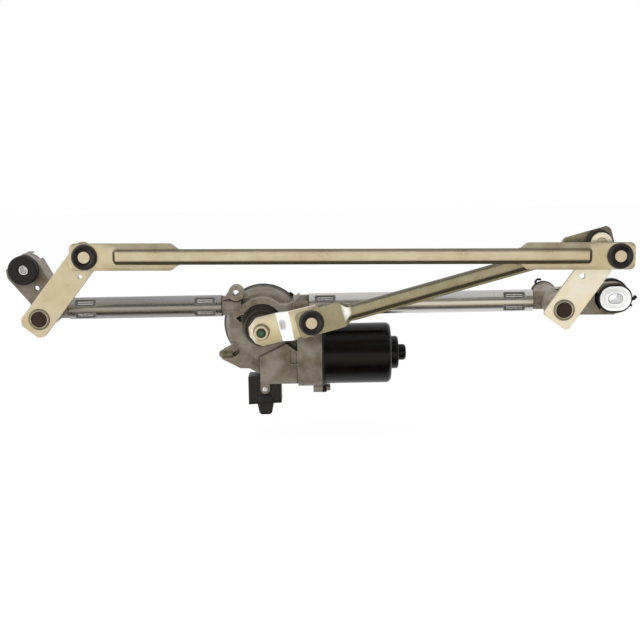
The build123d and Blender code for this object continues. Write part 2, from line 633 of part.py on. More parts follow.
slot_length, slot_width = 13.6, 9.2
with BuildPart() as right_grommet:
    turned(right_grommet_centre, [(0, -12), (15.6, -12), (18.0, -10), (18.0, -3), (eye_groove_radius, -3),
                                  (eye_groove_radius, eye_front), (0, eye_front)])
    with BuildSketch(level(eye_front)) as rim:
        with Locations(right_grommet_centre):
            SlotOverall(34.4, 28.8)
    extrude(rim.sketch, amount=3.8)
    with BuildSketch(level(-12)) as opening:
        with Locations(right_grommet_centre):
            SlotOverall(slot_length + 3, slot_width + 3)
    extrude(opening.sketch, amount=30, mode=Mode.SUBTRACT)
save(right_grommet.part, "right_grommet")

with BuildPart() as right_grommet_washer:
    with BuildSketch(level(12.8)) as face:
        with Locations(right_grommet_centre):
            SlotOverall(31.4, 24.8)
    extrude(face.sketch, amount=1.6)
    with BuildSketch(level(-9)) as sleeve:
        with Locations(right_grommet_centre):
            SlotOverall(slot_length + 3, slot_width + 3)
    extrude(sleeve.sketch, amount=22)
    with BuildSketch(level(-9)) as slot:
        with Locations(right_grommet_centre):
            SlotOverall(slot_length, slot_width)
    extrude(slot.sketch, amount=30, mode=Mode.SUBTRACT)
save(right_grommet_washer.part, "right_grommet_washer")

# Motor shell, magnets and gasket
with BuildPart() as motor_can:
    outer = [(can_start, 0), (can_start, 33.2), (can_start + 2, 33.2), (can_start + 2, can_radius)]
    outer += [(can_end, can_radius), (can_end, cup_radius), (cup_end, cup_radius)]
    outer += [(cup_end, knob_radius), (knob_end, knob_radius), (knob_end, 0)]
    turned_along_x(worm_axis_z, worm_axis_height, outer, radius=[0, 0, 0, 0, 5.2, 1, 2.6, 1.2, 3.2, 0])
    inner = [(can_start, 0), (can_start, can_radius - can_wall), (can_end - can_wall, can_radius - can_wall)]
    inner += [(can_end - can_wall, 14), (cup_end - can_wall, 14), (cup_end - can_wall, 6.8)]
    inner += [(knob_end - 2, 6.8), (knob_end - 2, 0)]
    turned_along_x(worm_axis_z, worm_axis_height, inner, mode=Mode.SUBTRACT)
    for side in (-1, 1):
        ear_z = worm_axis_z + side * motor_bolt_radius
        with BuildSketch(Plane.YZ.offset(can_start)) as ear:
            with Locations((-worm_axis_height, ear_z)):
                Circle(5.2)
            with Locations((-worm_axis_height, ear_z - side * 3)):
                Rectangle(10.4, 6)
        extrude(ear.sketch, amount=2)
save(motor_can.part, "motor_can")

with BuildPart() as field_magnets:
    magnet_outer, magnet_inner = can_radius - can_wall, 23.2
    with BuildSketch(Plane.YZ.offset(308)) as arcs:
        with Locations((-worm_axis_height, worm_axis_z)):
            Circle(magnet_outer)
            Circle(magnet_inner, mode=Mode.SUBTRACT)
            Rectangle(80, 22, mode=Mode.SUBTRACT)
    extrude(arcs.sketch, amount=42)
save(field_magnets.part, "field_magnets")

with BuildPart() as motor_gasket:
    with BuildSketch(Plane.YZ.offset(collar_end)) as ring:
        with Locations((-worm_axis_height, worm_axis_z)):
            Circle(collar_radius + 0.2)
            for side in (-1, 1):
                with Locations((0, side * motor_bolt_radius)):
                    Circle(5.4)
                with Locations((0, side * (motor_bolt_radius - 3))):
                    Rectangle(10.8, 6)
            Circle(28.5, mode=Mode.SUBTRACT)
    extrude(ring.sketch, amount=can_start - collar_end)
save(motor_gasket.part, "motor_gasket")

with BuildPart() as motor_bolts:
    for side in (-1, 1):
        bolt_z = worm_axis_z + side * motor_bolt_radius
        head_start = can_start + 2
        profile = [(head_start, 0), (head_start, 3.6), (head_start + 3.4, 3.2)]
        profile += [(head_start + 4, 2.4), (head_start + 4, 0)]
        turned_along_x(bolt_z, worm_axis_height, profile)
save(motor_bolts.part, "motor_bolts")

# Armature: shaft with its worm, lamination core, commutator and end windings
with BuildPart() as armature_shaft:
    profile = [(214.5, 0), (214.5, 3.6), (218, 3.6), (218, worm_radius), (252, worm_radius)]
    profile += [(253.5, armature_shaft_radius), (376, armature_shaft_radius), (377, 3), (377, 0)]
    turned_along_x(worm_axis_z, worm_axis_height, profile)
save(armature_shaft.part, "armature_shaft")

core_radius = 22.4
with BuildPart() as armature_core:
    rod_along_x(worm_axis_z, worm_axis_height, core_radius, 309, 349)
    with BuildSketch(Plane.YZ.offset(309)) as slots:
        with Locations((-worm_axis_height, worm_axis_z)):
            with PolarLocations(core_radius - 2, 10):
                Rectangle(8, 2.4)
    extrude(slots.sketch, amount=40, mode=Mode.SUBTRACT)
    rod_along_x(worm_axis_z, worm_axis_height, armature_shaft_radius, 309, 349, mode=Mode.SUBTRACT)
save(armature_core.part, "armature_core")

with BuildPart() as armature_windings:
    for low, high in ((303, 309), (349, 356)):
        profile = [(low, armature_shaft_radius), (low, 16), (low + 1.5, 19)]
        profile += [(high, 19), (high, armature_shaft_radius)]
        turned_along_x(worm_axis_z, worm_axis_height, profile)
save(armature_windings.part, "armature_windings")

with BuildPart() as commutator:
    rod_along_x(worm_axis_z, worm_axis_height, 11, 286, 303)
    rod_along_x(worm_axis_z, worm_axis_height, armature_shaft_radius, 286, 303, mode=Mode.SUBTRACT)
save(commutator.part, "commutator")

with BuildPart() as brush_holder:
    with BuildSketch(Plane.YZ.offset(282)) as card:
        with Locations((-worm_axis_height, worm_axis_z)):
            Circle(27.8)
            Circle(12.5, mode=Mode.SUBTRACT)
    extrude(card.sketch, amount=3)
save(brush_holder.part, "brush_holder")

with BuildPart() as brushes:
    for side in (-1, 1):
        with BuildSketch(Plane.YZ.offset(285)) as block:
            with Locations((-worm_axis_height, worm_axis_z + side * 17)):
                Rectangle(6, 11.6)
        extrude(block.sketch, amount=9)
save(brushes.part, "brushes")

bearing_bore = armature_shaft_radius + running_clearance
with BuildPart() as armature_bearings:
    tip_bore = 3.6 + running_clearance
    for low, high, bore, outside in ((213, 217.7, tip_bore, 8), (262, 270, bearing_bore, 8),
                                     (371.3, 377.5, bearing_bore, 6.8)):
        ring = [(low, bore), (high, bore), (high, outside), (low, outside)]
        turned_along_x(worm_axis_z, worm_axis_height, ring)
save(armature_bearings.part, "armature_bearings")

# Connector under the gear block: a shroud that opens downward, with a guide nose in front
connector_left, connector_right = 217.4, 251.4
connector_front, connector_back = block_front - 4, -26.0
shroud_bottom = -147.6
shroud_y = 17.0
with BuildPart() as connector_housing:
    body = [(connector_left, shroud_bottom), (connector_right, shroud_bottom + 1.2)]
    body += [(connector_right, -126.2), (240.4, -126.2), (229.8, -118.4)]
    body += [(218.4, -118.4), (connector_left, -119.4)]
    plate(level(connector_back), body, connector_front - connector_back)
    nose = Plane(origin=(234.6, 7.4, shroud_bottom + 0.6), x_dir=(1, 0, 0), z_dir=(0, 0, -1))
    with BuildSketch(nose) as root:
        RectangleRounded(17.4, 6, 2)
    with BuildSketch(nose.offset(10.4)) as shoulder:
        RectangleRounded(13.4, 5.4, 2)
    with BuildSketch(nose.offset(12.2)) as tip:
        RectangleRounded(10.0, 4, 1.8)
    loft([root.sketch.face(), shoulder.sketch.face(), tip.sketch.face()], ruled=True)
    mouth = Plane(origin=(235.0, shroud_y, shroud_bottom - 1), x_dir=(1, 0, 0), z_dir=(0, 0, 1))
    with BuildSketch(mouth) as cavity:
        RectangleRounded(29.0, 13.0, 1.5)
    extrude(cavity.sketch, amount=17, mode=Mode.SUBTRACT)
save(connector_housing.part, "connector_housing")

with BuildPart() as connector_terminals:
    blade = Plane(origin=(235.0, shroud_y + 4, shroud_bottom + 4), x_dir=(1, 0, 0), z_dir=(0, 0, 1))
    with BuildSketch(blade) as blades:
        with GridLocations(5.2, 1, 5, 1):
            Rectangle(2.8, 0.8)
    extrude(blades.sketch, amount=12)
save(connector_terminals.part, "connector_terminals")

with BuildPart() as connector_screw:
    turned((235.0, -131.0), [(0, 0), (2.9, 0), (2.7, 1.4), (1.8, 1.9), (0, 1.9)])
save(connector_screw.part, "connector_screw")
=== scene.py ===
import json
import math
import bmesh
import bpy
from mathutils import Matrix, Vector


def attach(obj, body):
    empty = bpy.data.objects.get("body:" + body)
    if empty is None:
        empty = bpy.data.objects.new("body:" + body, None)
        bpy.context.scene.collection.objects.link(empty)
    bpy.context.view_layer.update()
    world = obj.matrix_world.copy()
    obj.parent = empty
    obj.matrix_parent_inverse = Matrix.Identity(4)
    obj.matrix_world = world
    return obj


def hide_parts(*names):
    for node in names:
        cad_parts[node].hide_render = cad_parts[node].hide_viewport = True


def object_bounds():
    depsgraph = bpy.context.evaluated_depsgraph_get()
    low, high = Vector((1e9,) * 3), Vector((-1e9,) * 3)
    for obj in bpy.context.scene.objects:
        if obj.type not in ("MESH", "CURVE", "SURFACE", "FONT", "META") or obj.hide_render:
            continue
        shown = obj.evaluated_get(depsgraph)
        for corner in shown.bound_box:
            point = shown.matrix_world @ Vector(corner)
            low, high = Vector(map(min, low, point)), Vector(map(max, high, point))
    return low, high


MM = 0.001
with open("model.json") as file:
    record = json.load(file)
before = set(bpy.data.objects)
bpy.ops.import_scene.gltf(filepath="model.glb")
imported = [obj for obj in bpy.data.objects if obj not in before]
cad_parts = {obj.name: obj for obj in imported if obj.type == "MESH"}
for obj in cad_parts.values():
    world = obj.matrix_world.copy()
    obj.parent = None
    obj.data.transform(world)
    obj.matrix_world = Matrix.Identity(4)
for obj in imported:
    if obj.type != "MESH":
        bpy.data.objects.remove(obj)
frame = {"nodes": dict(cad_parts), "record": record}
cad_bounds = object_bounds()
nodes = frame["nodes"]

# The photograph's camera: 640 pixels square, 10 degrees above the linkage's front
FOCAL_PIXELS = 1133.0
FRAME_PIXELS = 640.0
SENSOR_MM = 36.0
CLIP_START = 0.01
CAMERA_DISTANCE = 1.1561
CAMERA_ELEVATION = math.radians(10.0)
CAMERA_ROLL = math.radians(1.03)
CAMERA_TARGET = Vector((0.29265, 0.0, -0.05968))

# Soft lamps, all aimed at the object's middle: name, place, size and power
LAMP_AIM = Vector((0.29, 0.0, -0.06))
LAMPS = (
    ("top", (0.3, -0.15, 1.15), (1.5, 0.7), 9.0),
    ("front", (0.1, -1.3, 0.55), (0.9, 0.6), 9.0),
    ("back", (0.3, 1.2, 0.5), (1.2, 0.8), 5.0),
)

# Brightness of the room by angle about X: 0 faces the linkage, 90 is overhead, -90 is the floor
ROOM_STRENGTH = 0.9
ROOM_BANDS = (
    (-180, (0.95, 0.95, 0.95)),
    (-100, (0.92, 0.92, 0.93)),
    (-80, (0.70, 0.70, 0.71)),
    (-68, (0.07, 0.06, 0.05)),
    (-42, (0.05, 0.04, 0.03)),
    (-31, (0.50, 0.41, 0.28)),
    (-12, (1.00, 0.93, 0.78)),
    (6, (0.96, 0.91, 0.80)),
    (15, (0.12, 0.11, 0.10)),
    (34, (0.12, 0.12, 0.12)),
    (48, (0.58, 0.58, 0.59)),
    (100, (0.72, 0.72, 0.73)),
    (150, (0.80, 0.80, 0.81)),
    (180, (0.95, 0.95, 0.95)),
)
# The white screen at the left: where it begins and is full in the direction's X, and its brightness
SCREEN_SPAN = (-0.34, -0.62)
SCREEN_WHITE = (1.3, 1.3, 1.3)

FLOOR_GAP = 0.02
FLOOR_REACH = 3.0
FLOOR_COLOUR = (0.93, 0.93, 0.93)
FLOOR_ROUGHNESS = 0.9
FLOOR_GLOW = 0.96


def camera():
    data = bpy.data.cameras.new("camera")
    data.sensor_width = SENSOR_MM
    data.lens = SENSOR_MM * FOCAL_PIXELS / FRAME_PIXELS
    data.clip_start = CLIP_START
    obj = bpy.data.objects.new("camera", data)
    back = Vector((0.0, -math.cos(CAMERA_ELEVATION), math.sin(CAMERA_ELEVATION)))
    up = Vector((0.0, math.sin(CAMERA_ELEVATION), math.cos(CAMERA_ELEVATION)))
    right = Vector((1.0, 0.0, 0.0))
    roll = Matrix.Rotation(CAMERA_ROLL, 3, -back)
    rotation = Matrix((roll @ right, roll @ up, back)).transposed()
    obj.matrix_world = Matrix.Translation(CAMERA_TARGET + back * CAMERA_DISTANCE) @ rotation.to_4x4()
    bpy.context.scene.collection.objects.link(obj)
    bpy.context.scene.camera = obj


def area_light(name, spot, size, power):
    data = bpy.data.lights.new(name, "AREA")
    data.shape = "RECTANGLE"
    data.size, data.size_y = size
    data.energy = power
    obj = bpy.data.objects.new(name, data)
    turn = (Vector(spot) - LAMP_AIM).to_track_quat("Z", "Y")
    obj.matrix_world = Matrix.Translation(spot) @ turn.to_matrix().to_4x4()
    obj.visible_glossy = False
    bpy.context.scene.collection.objects.link(obj)


def feed(tree, value, socket):
    """Gives a node's input a link, a colour or a number."""
    if isinstance(value, bpy.types.NodeSocket):
        tree.links.new(value, socket)
    else:
        socket.default_value = (*value, 1) if isinstance(value, tuple) else value


def calculated(tree, operation, *values):
    node = tree.nodes.new("ShaderNodeMath")
    node.operation = operation
    for socket, value in zip(node.inputs, values):
        feed(tree, value, socket)
    return node.outputs[0]


def remapped(tree, value, low, high, out_low=0.0, out_high=1.0, kind="LINEAR"):
    node = tree.nodes.new("ShaderNodeMapRange")
    node.interpolation_type = kind
    for socket, number in (("From Min", low), ("From Max", high), ("To Min", out_low), ("To Max", out_high)):
        node.inputs[socket].default_value = number
    tree.links.new(value, node.inputs["Value"])
    return node.outputs[0]


def mixed(tree, factor, first, second):
    """Colour between two colours."""
    node = tree.nodes.new("ShaderNodeMix")
    node.data_type = "RGBA"
    for socket, value in (("Factor", factor), ("A", first), ("B", second)):
        feed(tree, value, node.inputs[socket])
    return node.outputs["Result"]


def mixed_shader(tree, factor, first, second):
    node = tree.nodes.new("ShaderNodeMixShader")
    for socket, value in zip(node.inputs, (factor, first, second)):
        tree.links.new(value, socket)
    return node.outputs[0]


def split(tree, vector):
    node = tree.nodes.new("ShaderNodeSeparateXYZ")
    tree.links.new(vector, node.inputs[0])
    return node.outputs


def room_light(tree, direction):
    """Soft studio round the X axis: bright floor, warm front, a dark gap under and over it, grey ceiling and
    pale back. The bands are what a polished tube shows."""
    parts = split(tree, direction)
    angle = calculated(tree, "ARCTAN2", parts["Z"], calculated(tree, "MULTIPLY", parts["Y"], -1.0))
    bands = tree.nodes.new("ShaderNodeValToRGB")
    elements = bands.color_ramp.elements
    for degrees, colour in ROOM_BANDS:
        share = (degrees + 180.0) / 360.0
        if abs(degrees) == 180:
            element = elements[0 if degrees < 0 else -1]
            element.position = share
        else:
            element = elements.new(share)
        element.color = (*colour, 1)
    tree.links.new(remapped(tree, angle, -math.pi, math.pi), bands.inputs["Fac"])
    screen = remapped(tree, parts["X"], *SCREEN_SPAN, kind="SMOOTHSTEP")
    return mixed(tree, screen, bands.outputs["Color"], SCREEN_WHITE)


def studio():
    """The camera sees a white backdrop, and everything else is lit by the room and three soft lamps."""
    world = bpy.data.worlds.new("room")
    bpy.context.scene.world = world
    world.use_nodes = True
    tree = world.node_tree
    tree.nodes.clear()
    path = tree.nodes.new("ShaderNodeLightPath")
    coords = tree.nodes.new("ShaderNodeTexCoord")
    white = tree.nodes.new("ShaderNodeBackground")
    white.inputs["Color"].default_value = (1, 1, 1, 1)
    room = tree.nodes.new("ShaderNodeBackground")
    room.inputs["Strength"].default_value = ROOM_STRENGTH
    tree.links.new(room_light(tree, coords.outputs["Generated"]), room.inputs["Color"])
    out = tree.nodes.new("ShaderNodeOutputWorld")
    seen = mixed_shader(tree, path.outputs["Is Camera Ray"], room.outputs[0], white.outputs[0])
    tree.links.new(seen, out.inputs["Surface"])
    for lamp in LAMPS:
        area_light(*lamp)


def floor():
    """Plain pale floor under the object. Polished metal looks through it to the room's own bands."""
    low = cad_bounds[0][2] - FLOOR_GAP
    mesh = bpy.data.meshes.new("floor")
    corners = [(x * FLOOR_REACH, y * FLOOR_REACH, low) for x, y in ((-1, -1), (1, -1), (1, 1), (-1, 1))]
    mesh.from_pydata(corners, [], [(0, 1, 2, 3)])
    obj = bpy.data.objects.new("floor", mesh)
    bpy.context.scene.collection.objects.link(obj)
    material = bpy.data.materials.new("pale_floor")
    material.use_nodes = True
    tree = material.node_tree
    shader = tree.nodes["Principled BSDF"]
    shader.inputs["Base Color"].default_value = (*FLOOR_COLOUR, 1)
    shader.inputs["Roughness"].default_value = FLOOR_ROUGHNESS
    shader.inputs["Specular IOR Level"].default_value = 0.0
    glow = tree.nodes.new("ShaderNodeEmission")
    clear = tree.nodes.new("ShaderNodeBsdfTransparent")
    path = tree.nodes.new("ShaderNodeLightPath")
    share = calculated(tree, "MULTIPLY", path.outputs["Is Camera Ray"], FLOOR_GLOW)
    seen = mixed_shader(tree, share, shader.outputs[0], glow.outputs[0])
    through = mixed_shader(tree, path.outputs["Is Glossy Ray"], seen, clear.outputs[0])
    tree.links.new(through, tree.nodes["Material Output"].inputs["Surface"])
    mesh.materials.append(material)


# Where each effect of a finish begins and where it is full, in the value that it follows
TINT_SPAN = (0.34, 0.62)
BLUSH_SPAN = (0.50, 0.66)
BEND_HIGHLIGHT_SPAN = (-0.16, -0.32)
WALL_SHADE_SPAN = (0.92, 0.82)
END_SHADE_SPAN = (0.25, 0.5)
CORNER_SHADE_SPAN = (0.94, 0.60)
EDGE_SPAN = (0.985, 0.80)

BLUSH_SHARE = 0.55
BLUSH_SIZE = 0.45
UPPER_WALL_SHADE_SHARE = 0.75
# Reach and darkness of the painted shade in inside corners
CORNER_SHADE_REACH_MM = 2.5
CORNER_SHADE_DARKNESS = 0.16
ROUGHNESS_SPREAD = (-0.07, 0.09)


def linear(colour):
    """Linear values of a colour given as 0 to 255."""
    return tuple((c / 255 / 12.92) if c <= 10 else ((c / 255 + 0.055) / 1.055) ** 2.4 for c in colour)


def surface(name, colour, metallic, roughness, mottle=0.10, mottle_size=12.0, tint=None, blush=None,
            grain=0.02, grain_size=0.6, streak=None, bevel=0.5, edge=None, corner_shade=0.0, sheen_level=0.5,
            bend=None, side=None, shade_along_x=None, ends=None):
    """Procedural finish, with colours as 0 to 255 and sizes in millimetres. The colour varies by mottle, or
    toward tint, and blush is a third colour in faint patches. Grain is the relief, streak its direction of
    drawing, bevel the rounding that edges show, and edge the colour that rounded edges take. The corner
    shade is the share of painted shade by which inside corners are darker, and bend the colour of a painted
    highlight on the bends that face -X. Side is the colour of painted shade on cut edges and steep walls,
    less on walls that face up, the shade along X a colour of painted shade that takes over between two
    places along X, and ends the colour of painted shade on faces that look along X."""
    material = bpy.data.materials.new(name)
    material.use_nodes = True
    tree = material.node_tree
    shader = tree.nodes["Principled BSDF"]
    shader.inputs["Metallic"].default_value = metallic
    shader.inputs["Specular IOR Level"].default_value = sheen_level
    coords = tree.nodes.new("ShaderNodeTexCoord")
    source = coords.outputs["Object"]
    if streak:
        stretch = tree.nodes.new("ShaderNodeMapping")
        stretch.inputs["Scale"].default_value = streak
        tree.links.new(source, stretch.inputs["Vector"])
        source = stretch.outputs["Vector"]

    def noise(size, detail):
        node = tree.nodes.new("ShaderNodeTexNoise")
        node.inputs["Scale"].default_value = 1.0 / (size * MM)
        node.inputs["Detail"].default_value = detail
        tree.links.new(source, node.inputs["Vector"])
        return node.outputs["Fac"]

    colour = linear(colour)
    patches = noise(mottle_size, 5.0)
    ramp = tree.nodes.new("ShaderNodeValToRGB")
    other = linear(tint) if tint else tuple(c * (1.0 - mottle * 2.2) for c in colour)
    for element, position, shade in zip(ramp.color_ramp.elements, TINT_SPAN, (other, colour)):
        element.position = position
        element.color = (*shade, 1)
    tree.links.new(patches, ramp.inputs["Fac"])
    base = ramp.outputs["Color"]
    if blush:
        spots = remapped(tree, noise(mottle_size * BLUSH_SIZE, 4.0), *BLUSH_SPAN, 0.0, BLUSH_SHARE)
        base = mixed(tree, spots, base, linear(blush))
    # Painted shade that takes over along X, on the far end of the drive link
    if shade_along_x:
        along = split(tree, coords.outputs["Object"])["X"]
        base = mixed(tree, remapped(tree, along, shade_along_x[0] * MM, shade_along_x[1] * MM), base, linear(shade_along_x[2]))
    if bend or side or ends:
        lean = split(tree, coords.outputs["Normal"])
    # Painted highlight: faces that look toward -X, the white screen's side, take the bend colour
    if bend:
        base = mixed(tree, remapped(tree, lean["X"], *BEND_HIGHLIGHT_SPAN), base, linear(bend))
    # Painted shade on cut edges and steep walls, less on walls that face up, where more light falls
    if side:
        steep = remapped(tree, calculated(tree, "ABSOLUTE", lean["Y"]), *WALL_SHADE_SPAN)
        upper = remapped(tree, lean["Z"], -0.2, 0.2, 1.0, UPPER_WALL_SHADE_SHARE)
        base = mixed(tree, calculated(tree, "MULTIPLY", steep, upper), base, linear(side))
    # Painted shade on faces that look along X, such as the ends of the crimp pockets
    if ends:
        facing = calculated(tree, "ABSOLUTE", lean["X"])
        base = mixed(tree, remapped(tree, facing, *END_SHADE_SPAN), base, linear(ends))
    # Painted shade: ambient occlusion darkens the colour in inside corners
    if corner_shade:
        occlusion = tree.nodes.new("ShaderNodeAmbientOcclusion")
        occlusion.samples = 6
        occlusion.only_local = True
        occlusion.inputs["Distance"].default_value = CORNER_SHADE_REACH_MM * MM
        depth = remapped(tree, occlusion.outputs["AO"], *CORNER_SHADE_SPAN, 0.0, corner_shade)
        base = mixed(tree, depth, base, tuple(c * CORNER_SHADE_DARKNESS for c in colour))
    low, high = (roughness + change for change in ROUGHNESS_SPREAD)
    dull = remapped(tree, patches, 0.0, 1.0, max(low, 0.04), min(high, 1.0))
    tree.links.new(dull, shader.inputs["Roughness"])
    bump = tree.nodes.new("ShaderNodeBump")
    bump.inputs["Distance"].default_value = grain * MM
    bump.inputs["Strength"].default_value = 1.0
    tree.links.new(noise(grain_size, 3.0), bump.inputs["Height"])
    rounding = tree.nodes.new("ShaderNodeBevel")
    rounding.samples = 4
    rounding.inputs["Radius"].default_value = bevel * MM
    tree.links.new(rounding.outputs[0], bump.inputs["Normal"])
    # Rounded edges take the edge colour where the bevelled normal turns from the surface's own
    if edge:
        geometry = tree.nodes.new("ShaderNodeNewGeometry")
        dot = tree.nodes.new("ShaderNodeVectorMath")
        dot.operation = "DOT_PRODUCT"
        tree.links.new(rounding.outputs[0], dot.inputs[0])
        tree.links.new(geometry.outputs["Normal"], dot.inputs[1])
        base = mixed(tree, remapped(tree, dot.outputs["Value"], *EDGE_SPAN), base, linear(edge))
    tree.links.new(bump.outputs[0], shader.inputs["Normal"])
    tree.links.new(base, shader.inputs["Base Color"])
    return material


# Brown of painted shade on the steep walls and cut edges of zinc pressings
WALL_SHADE_BROWN = (118, 106, 80)
# Tubes: ends is the colour of painted shade on the ends of the crimp pockets, which look along X
TUBE = {"mottle": 0.06, "mottle_size": 9, "grain": 0.012, "grain_size": 0.7, "streak": (0.12, 1, 1),
        "edge": (222, 222, 222), "corner_shade": 0.95, "ends": (52, 50, 46)}
ZINC = {"mottle_size": 16, "grain": 0.015, "grain_size": 0.8, "bevel": 0.8, "corner_shade": 0.97}

# Name, colour, metallic, roughness and the rest of each finish
FINISHES = (
    ("casting", (144, 136, 126), 0.45, 0.50,
     {"mottle_size": 18, "tint": (104, 93, 77), "grain": 0.05, "grain_size": 0.9, "edge": (205, 202, 198),
      "corner_shade": 0.9}),
    ("tube_steel", (172, 170, 167), 0.95, 0.22, TUBE),
    # Lighter copy of the tube steel for the right tube: painted light
    ("right_lit_tube_steel", (231, 229, 225), 0.95, 0.22, TUBE),
    # Darker copy of the tube steel for the crimp pockets: painted shade
    ("pocket_shade_steel", (112, 110, 106), 0.7, 0.35, {"mottle": 0.06, "mottle_size": 9, "corner_shade": 0.9}),
    ("yellow_zinc", (219, 211, 185), 0.78, 0.29,
     {**ZINC, "tint": (205, 194, 161), "blush": (219, 202, 175), "side": WALL_SHADE_BROWN}),
    # Lighter copy of the zinc for the right lever: painted light
    ("right_lit_zinc", (250, 247, 234), 0.78, 0.29,
     {**ZINC, "mottle_size": 22, "tint": (244, 236, 208), "blush": (244, 232, 218), "side": WALL_SHADE_BROWN}),
    # Long rod: side is the colour of painted shade on the walls of its rib
    ("rod_zinc", (222, 212, 184), 0.80, 0.29,
     {**ZINC, "mottle_size": 22, "tint": (204, 191, 160), "blush": (216, 202, 176), "side": (72, 64, 42)}),
    # Crank: bend is the colour of a painted white highlight on its forward bend
    ("crank_zinc", (236, 228, 198), 0.78, 0.29,
     {**ZINC, "tint": (226, 215, 180), "blush": (236, 222, 196), "bevel": 0.6, "bend": (255, 255, 255)}),
    # Drive link: painted highlight on bends facing -X, painted shade on its walls and on its far end
    ("link_zinc", (172, 166, 142), 0.85, 0.26,
     {**ZINC, "grain": 0.008, "tint": (154, 148, 120), "blush": (166, 156, 136), "bevel": 0.6,
      "bend": (252, 250, 246), "side": (66, 58, 38), "shade_along_x": (538, 556, (120, 115, 106))}),
    ("peg_metal", (128, 121, 100), 0.8, 0.32, {"mottle_size": 5, "tint": (104, 98, 80), "corner_shade": 0.9}),
    # Dark brown of the shaft seal, also used for the painted shade on the housing recess's floor
    ("seal_rubber_and_recess_shade", (72, 62, 54), 0.0, 0.5, {"mottle": 0.15, "mottle_size": 6, "grain": 0.03, "corner_shade": 0.9}),
    ("dark_steel", (66, 52, 44), 0.6, 0.55, {"mottle": 0.12, "mottle_size": 3}),
    ("bright_steel", (226, 226, 226), 0.85, 0.26, {"mottle": 0.05, "mottle_size": 5}),
    ("white_zinc", (252, 253, 253), 0.15, 0.36,
     {"mottle": 0.02, "mottle_size": 5, "edge": (245, 245, 245), "corner_shade": 0.9}),
    ("socket_plastic", (23, 17, 14), 0.0, 0.36, {"mottle": 0.15, "mottle_size": 5}),
    ("black_rubber", (19, 18, 18), 0.0, 0.55, {"mottle": 0.18, "mottle_size": 6, "grain": 0.03}),
    ("black_paint", (9, 8, 8), 0.0, 0.2,
     {"mottle": 0.15, "mottle_size": 14, "grain": 0.01, "grain_size": 1.6, "bevel": 0.8,
      "sheen_level": 0.25}),
    ("connector_plastic", (19, 18, 18), 0.0, 0.42, {"mottle": 0.12, "mottle_size": 5}),
    ("bronze", (176, 140, 90), 0.9, 0.4, {"mottle_size": 2}),
    ("gear_plastic", (226, 220, 204), 0.0, 0.4, {"mottle": 0.05}),
    ("copper", (200, 126, 84), 0.9, 0.35, {"mottle_size": 2}),
    ("ferrite", (88, 88, 92), 0.3, 0.6, {"mottle_size": 4}),
    ("carbon", (50, 50, 52), 0.2, 0.6, {"mottle_size": 2}),
    ("green_paint", (38, 84, 56), 0.0, 0.4, {"mottle": 0.15, "mottle_size": 1.5, "grain": 0.05}),
)

# The right lever and the right tube take lighter copies of their finishes, painted light on the brighter
# right side, and the cover's screws are bare metal
OWN_FINISH = {"right_lever": "right_lit_zinc", "right_tube": "right_lit_tube_steel", "cover_screws": "bright_steel"}


def finish_nodes():
    """Every CAD node takes the finish of its material slot, apart from those with one of their own."""
    for part in frame["record"]["subparts"]:
        obj = nodes[part["node"]]
        if not obj.material_slots:
            obj.data.materials.append(None)
        for holder in obj.material_slots:
            holder.material = finishes[OWN_FINISH.get(part["node"], part["material_slot"])]


def polar(centre, radius, degrees):
    turn = math.radians(degrees)
    return (centre[0] + radius * math.cos(turn), centre[1] + radius * math.sin(turn))


# Places of the linkage's axes at rest, in millimetres, as (X, Z)
SHAFT = (234.0, -66.0)
LEFT_SPINDLE = (21.0, -44.0)
RIGHT_SPINDLE = (529.0, -44.0)
RIGHT_GROMMET = (590.3, -41.0)
CRANK_ANGLE = 13.0
CRANK_PIN = polar(SHAFT, 51.7, CRANK_ANGLE)
LINK_BALL = polar(RIGHT_SPINDLE, 73.0, 61.5)
RIGHT_ROD_BALL = polar(RIGHT_SPINDLE, 73.0, 46.5)
LEFT_ROD_BALL = polar(LEFT_SPINDLE, 78.0, 51.2)

# Heights and sizes in millimetres, with height counted out of the linkage's front
LEVER_FRONT = 58.0
LINK_BALL_HEIGHT = 45.0
ROD_BALL_HEIGHT = 67.0
SHEET = 2.4
TUBE_RADIUS = 11.0
TUBE_AXIS_Z = -43.0
PLATEAU = -3.0

ROUND_SEGMENTS = 72
TURNED_SEGMENTS = 64
HALF_ROUND_SEGMENTS = 24
CORNER_STEPS = 4
# Edges that bend by less than this many degrees are shaded smooth
SMOOTH_BELOW = 32.0


def place(x, height, z):
    """Point in metres from millimetres along X, out of the linkage's front, and up."""
    return (x * MM, -height * MM, z * MM)


def value_at(line, u):
    """Value of a line of (place, value) pairs, which is level before its first and after its last place."""
    if u <= line[0][0]:
        return line[0][1]
    for (low, first), (high, second) in zip(line, line[1:]):
        if low <= u <= high:
            return first + (second - first) * (u - low) / (high - low)
    return line[-1][1]


def smooth_step(value, low, high):
    share = min(max((value - low) / (high - low), 0.0), 1.0)
    return share * share * (3 - 2 * share)


def circle(radius, count):
    turns = [2 * math.pi * k / count for k in range(count)]
    return [(radius * math.cos(turn), radius * math.sin(turn)) for turn in turns]


def ring_across(centre, radius, height, count=ROUND_SEGMENTS):
    """Circle about an axis across the linkage, or a single point where it has no radius."""
    if not radius:
        return [place(centre[0], height, centre[1])]
    return [place(centre[0] + x, height, centre[1] + z) for x, z in circle(radius, count)]


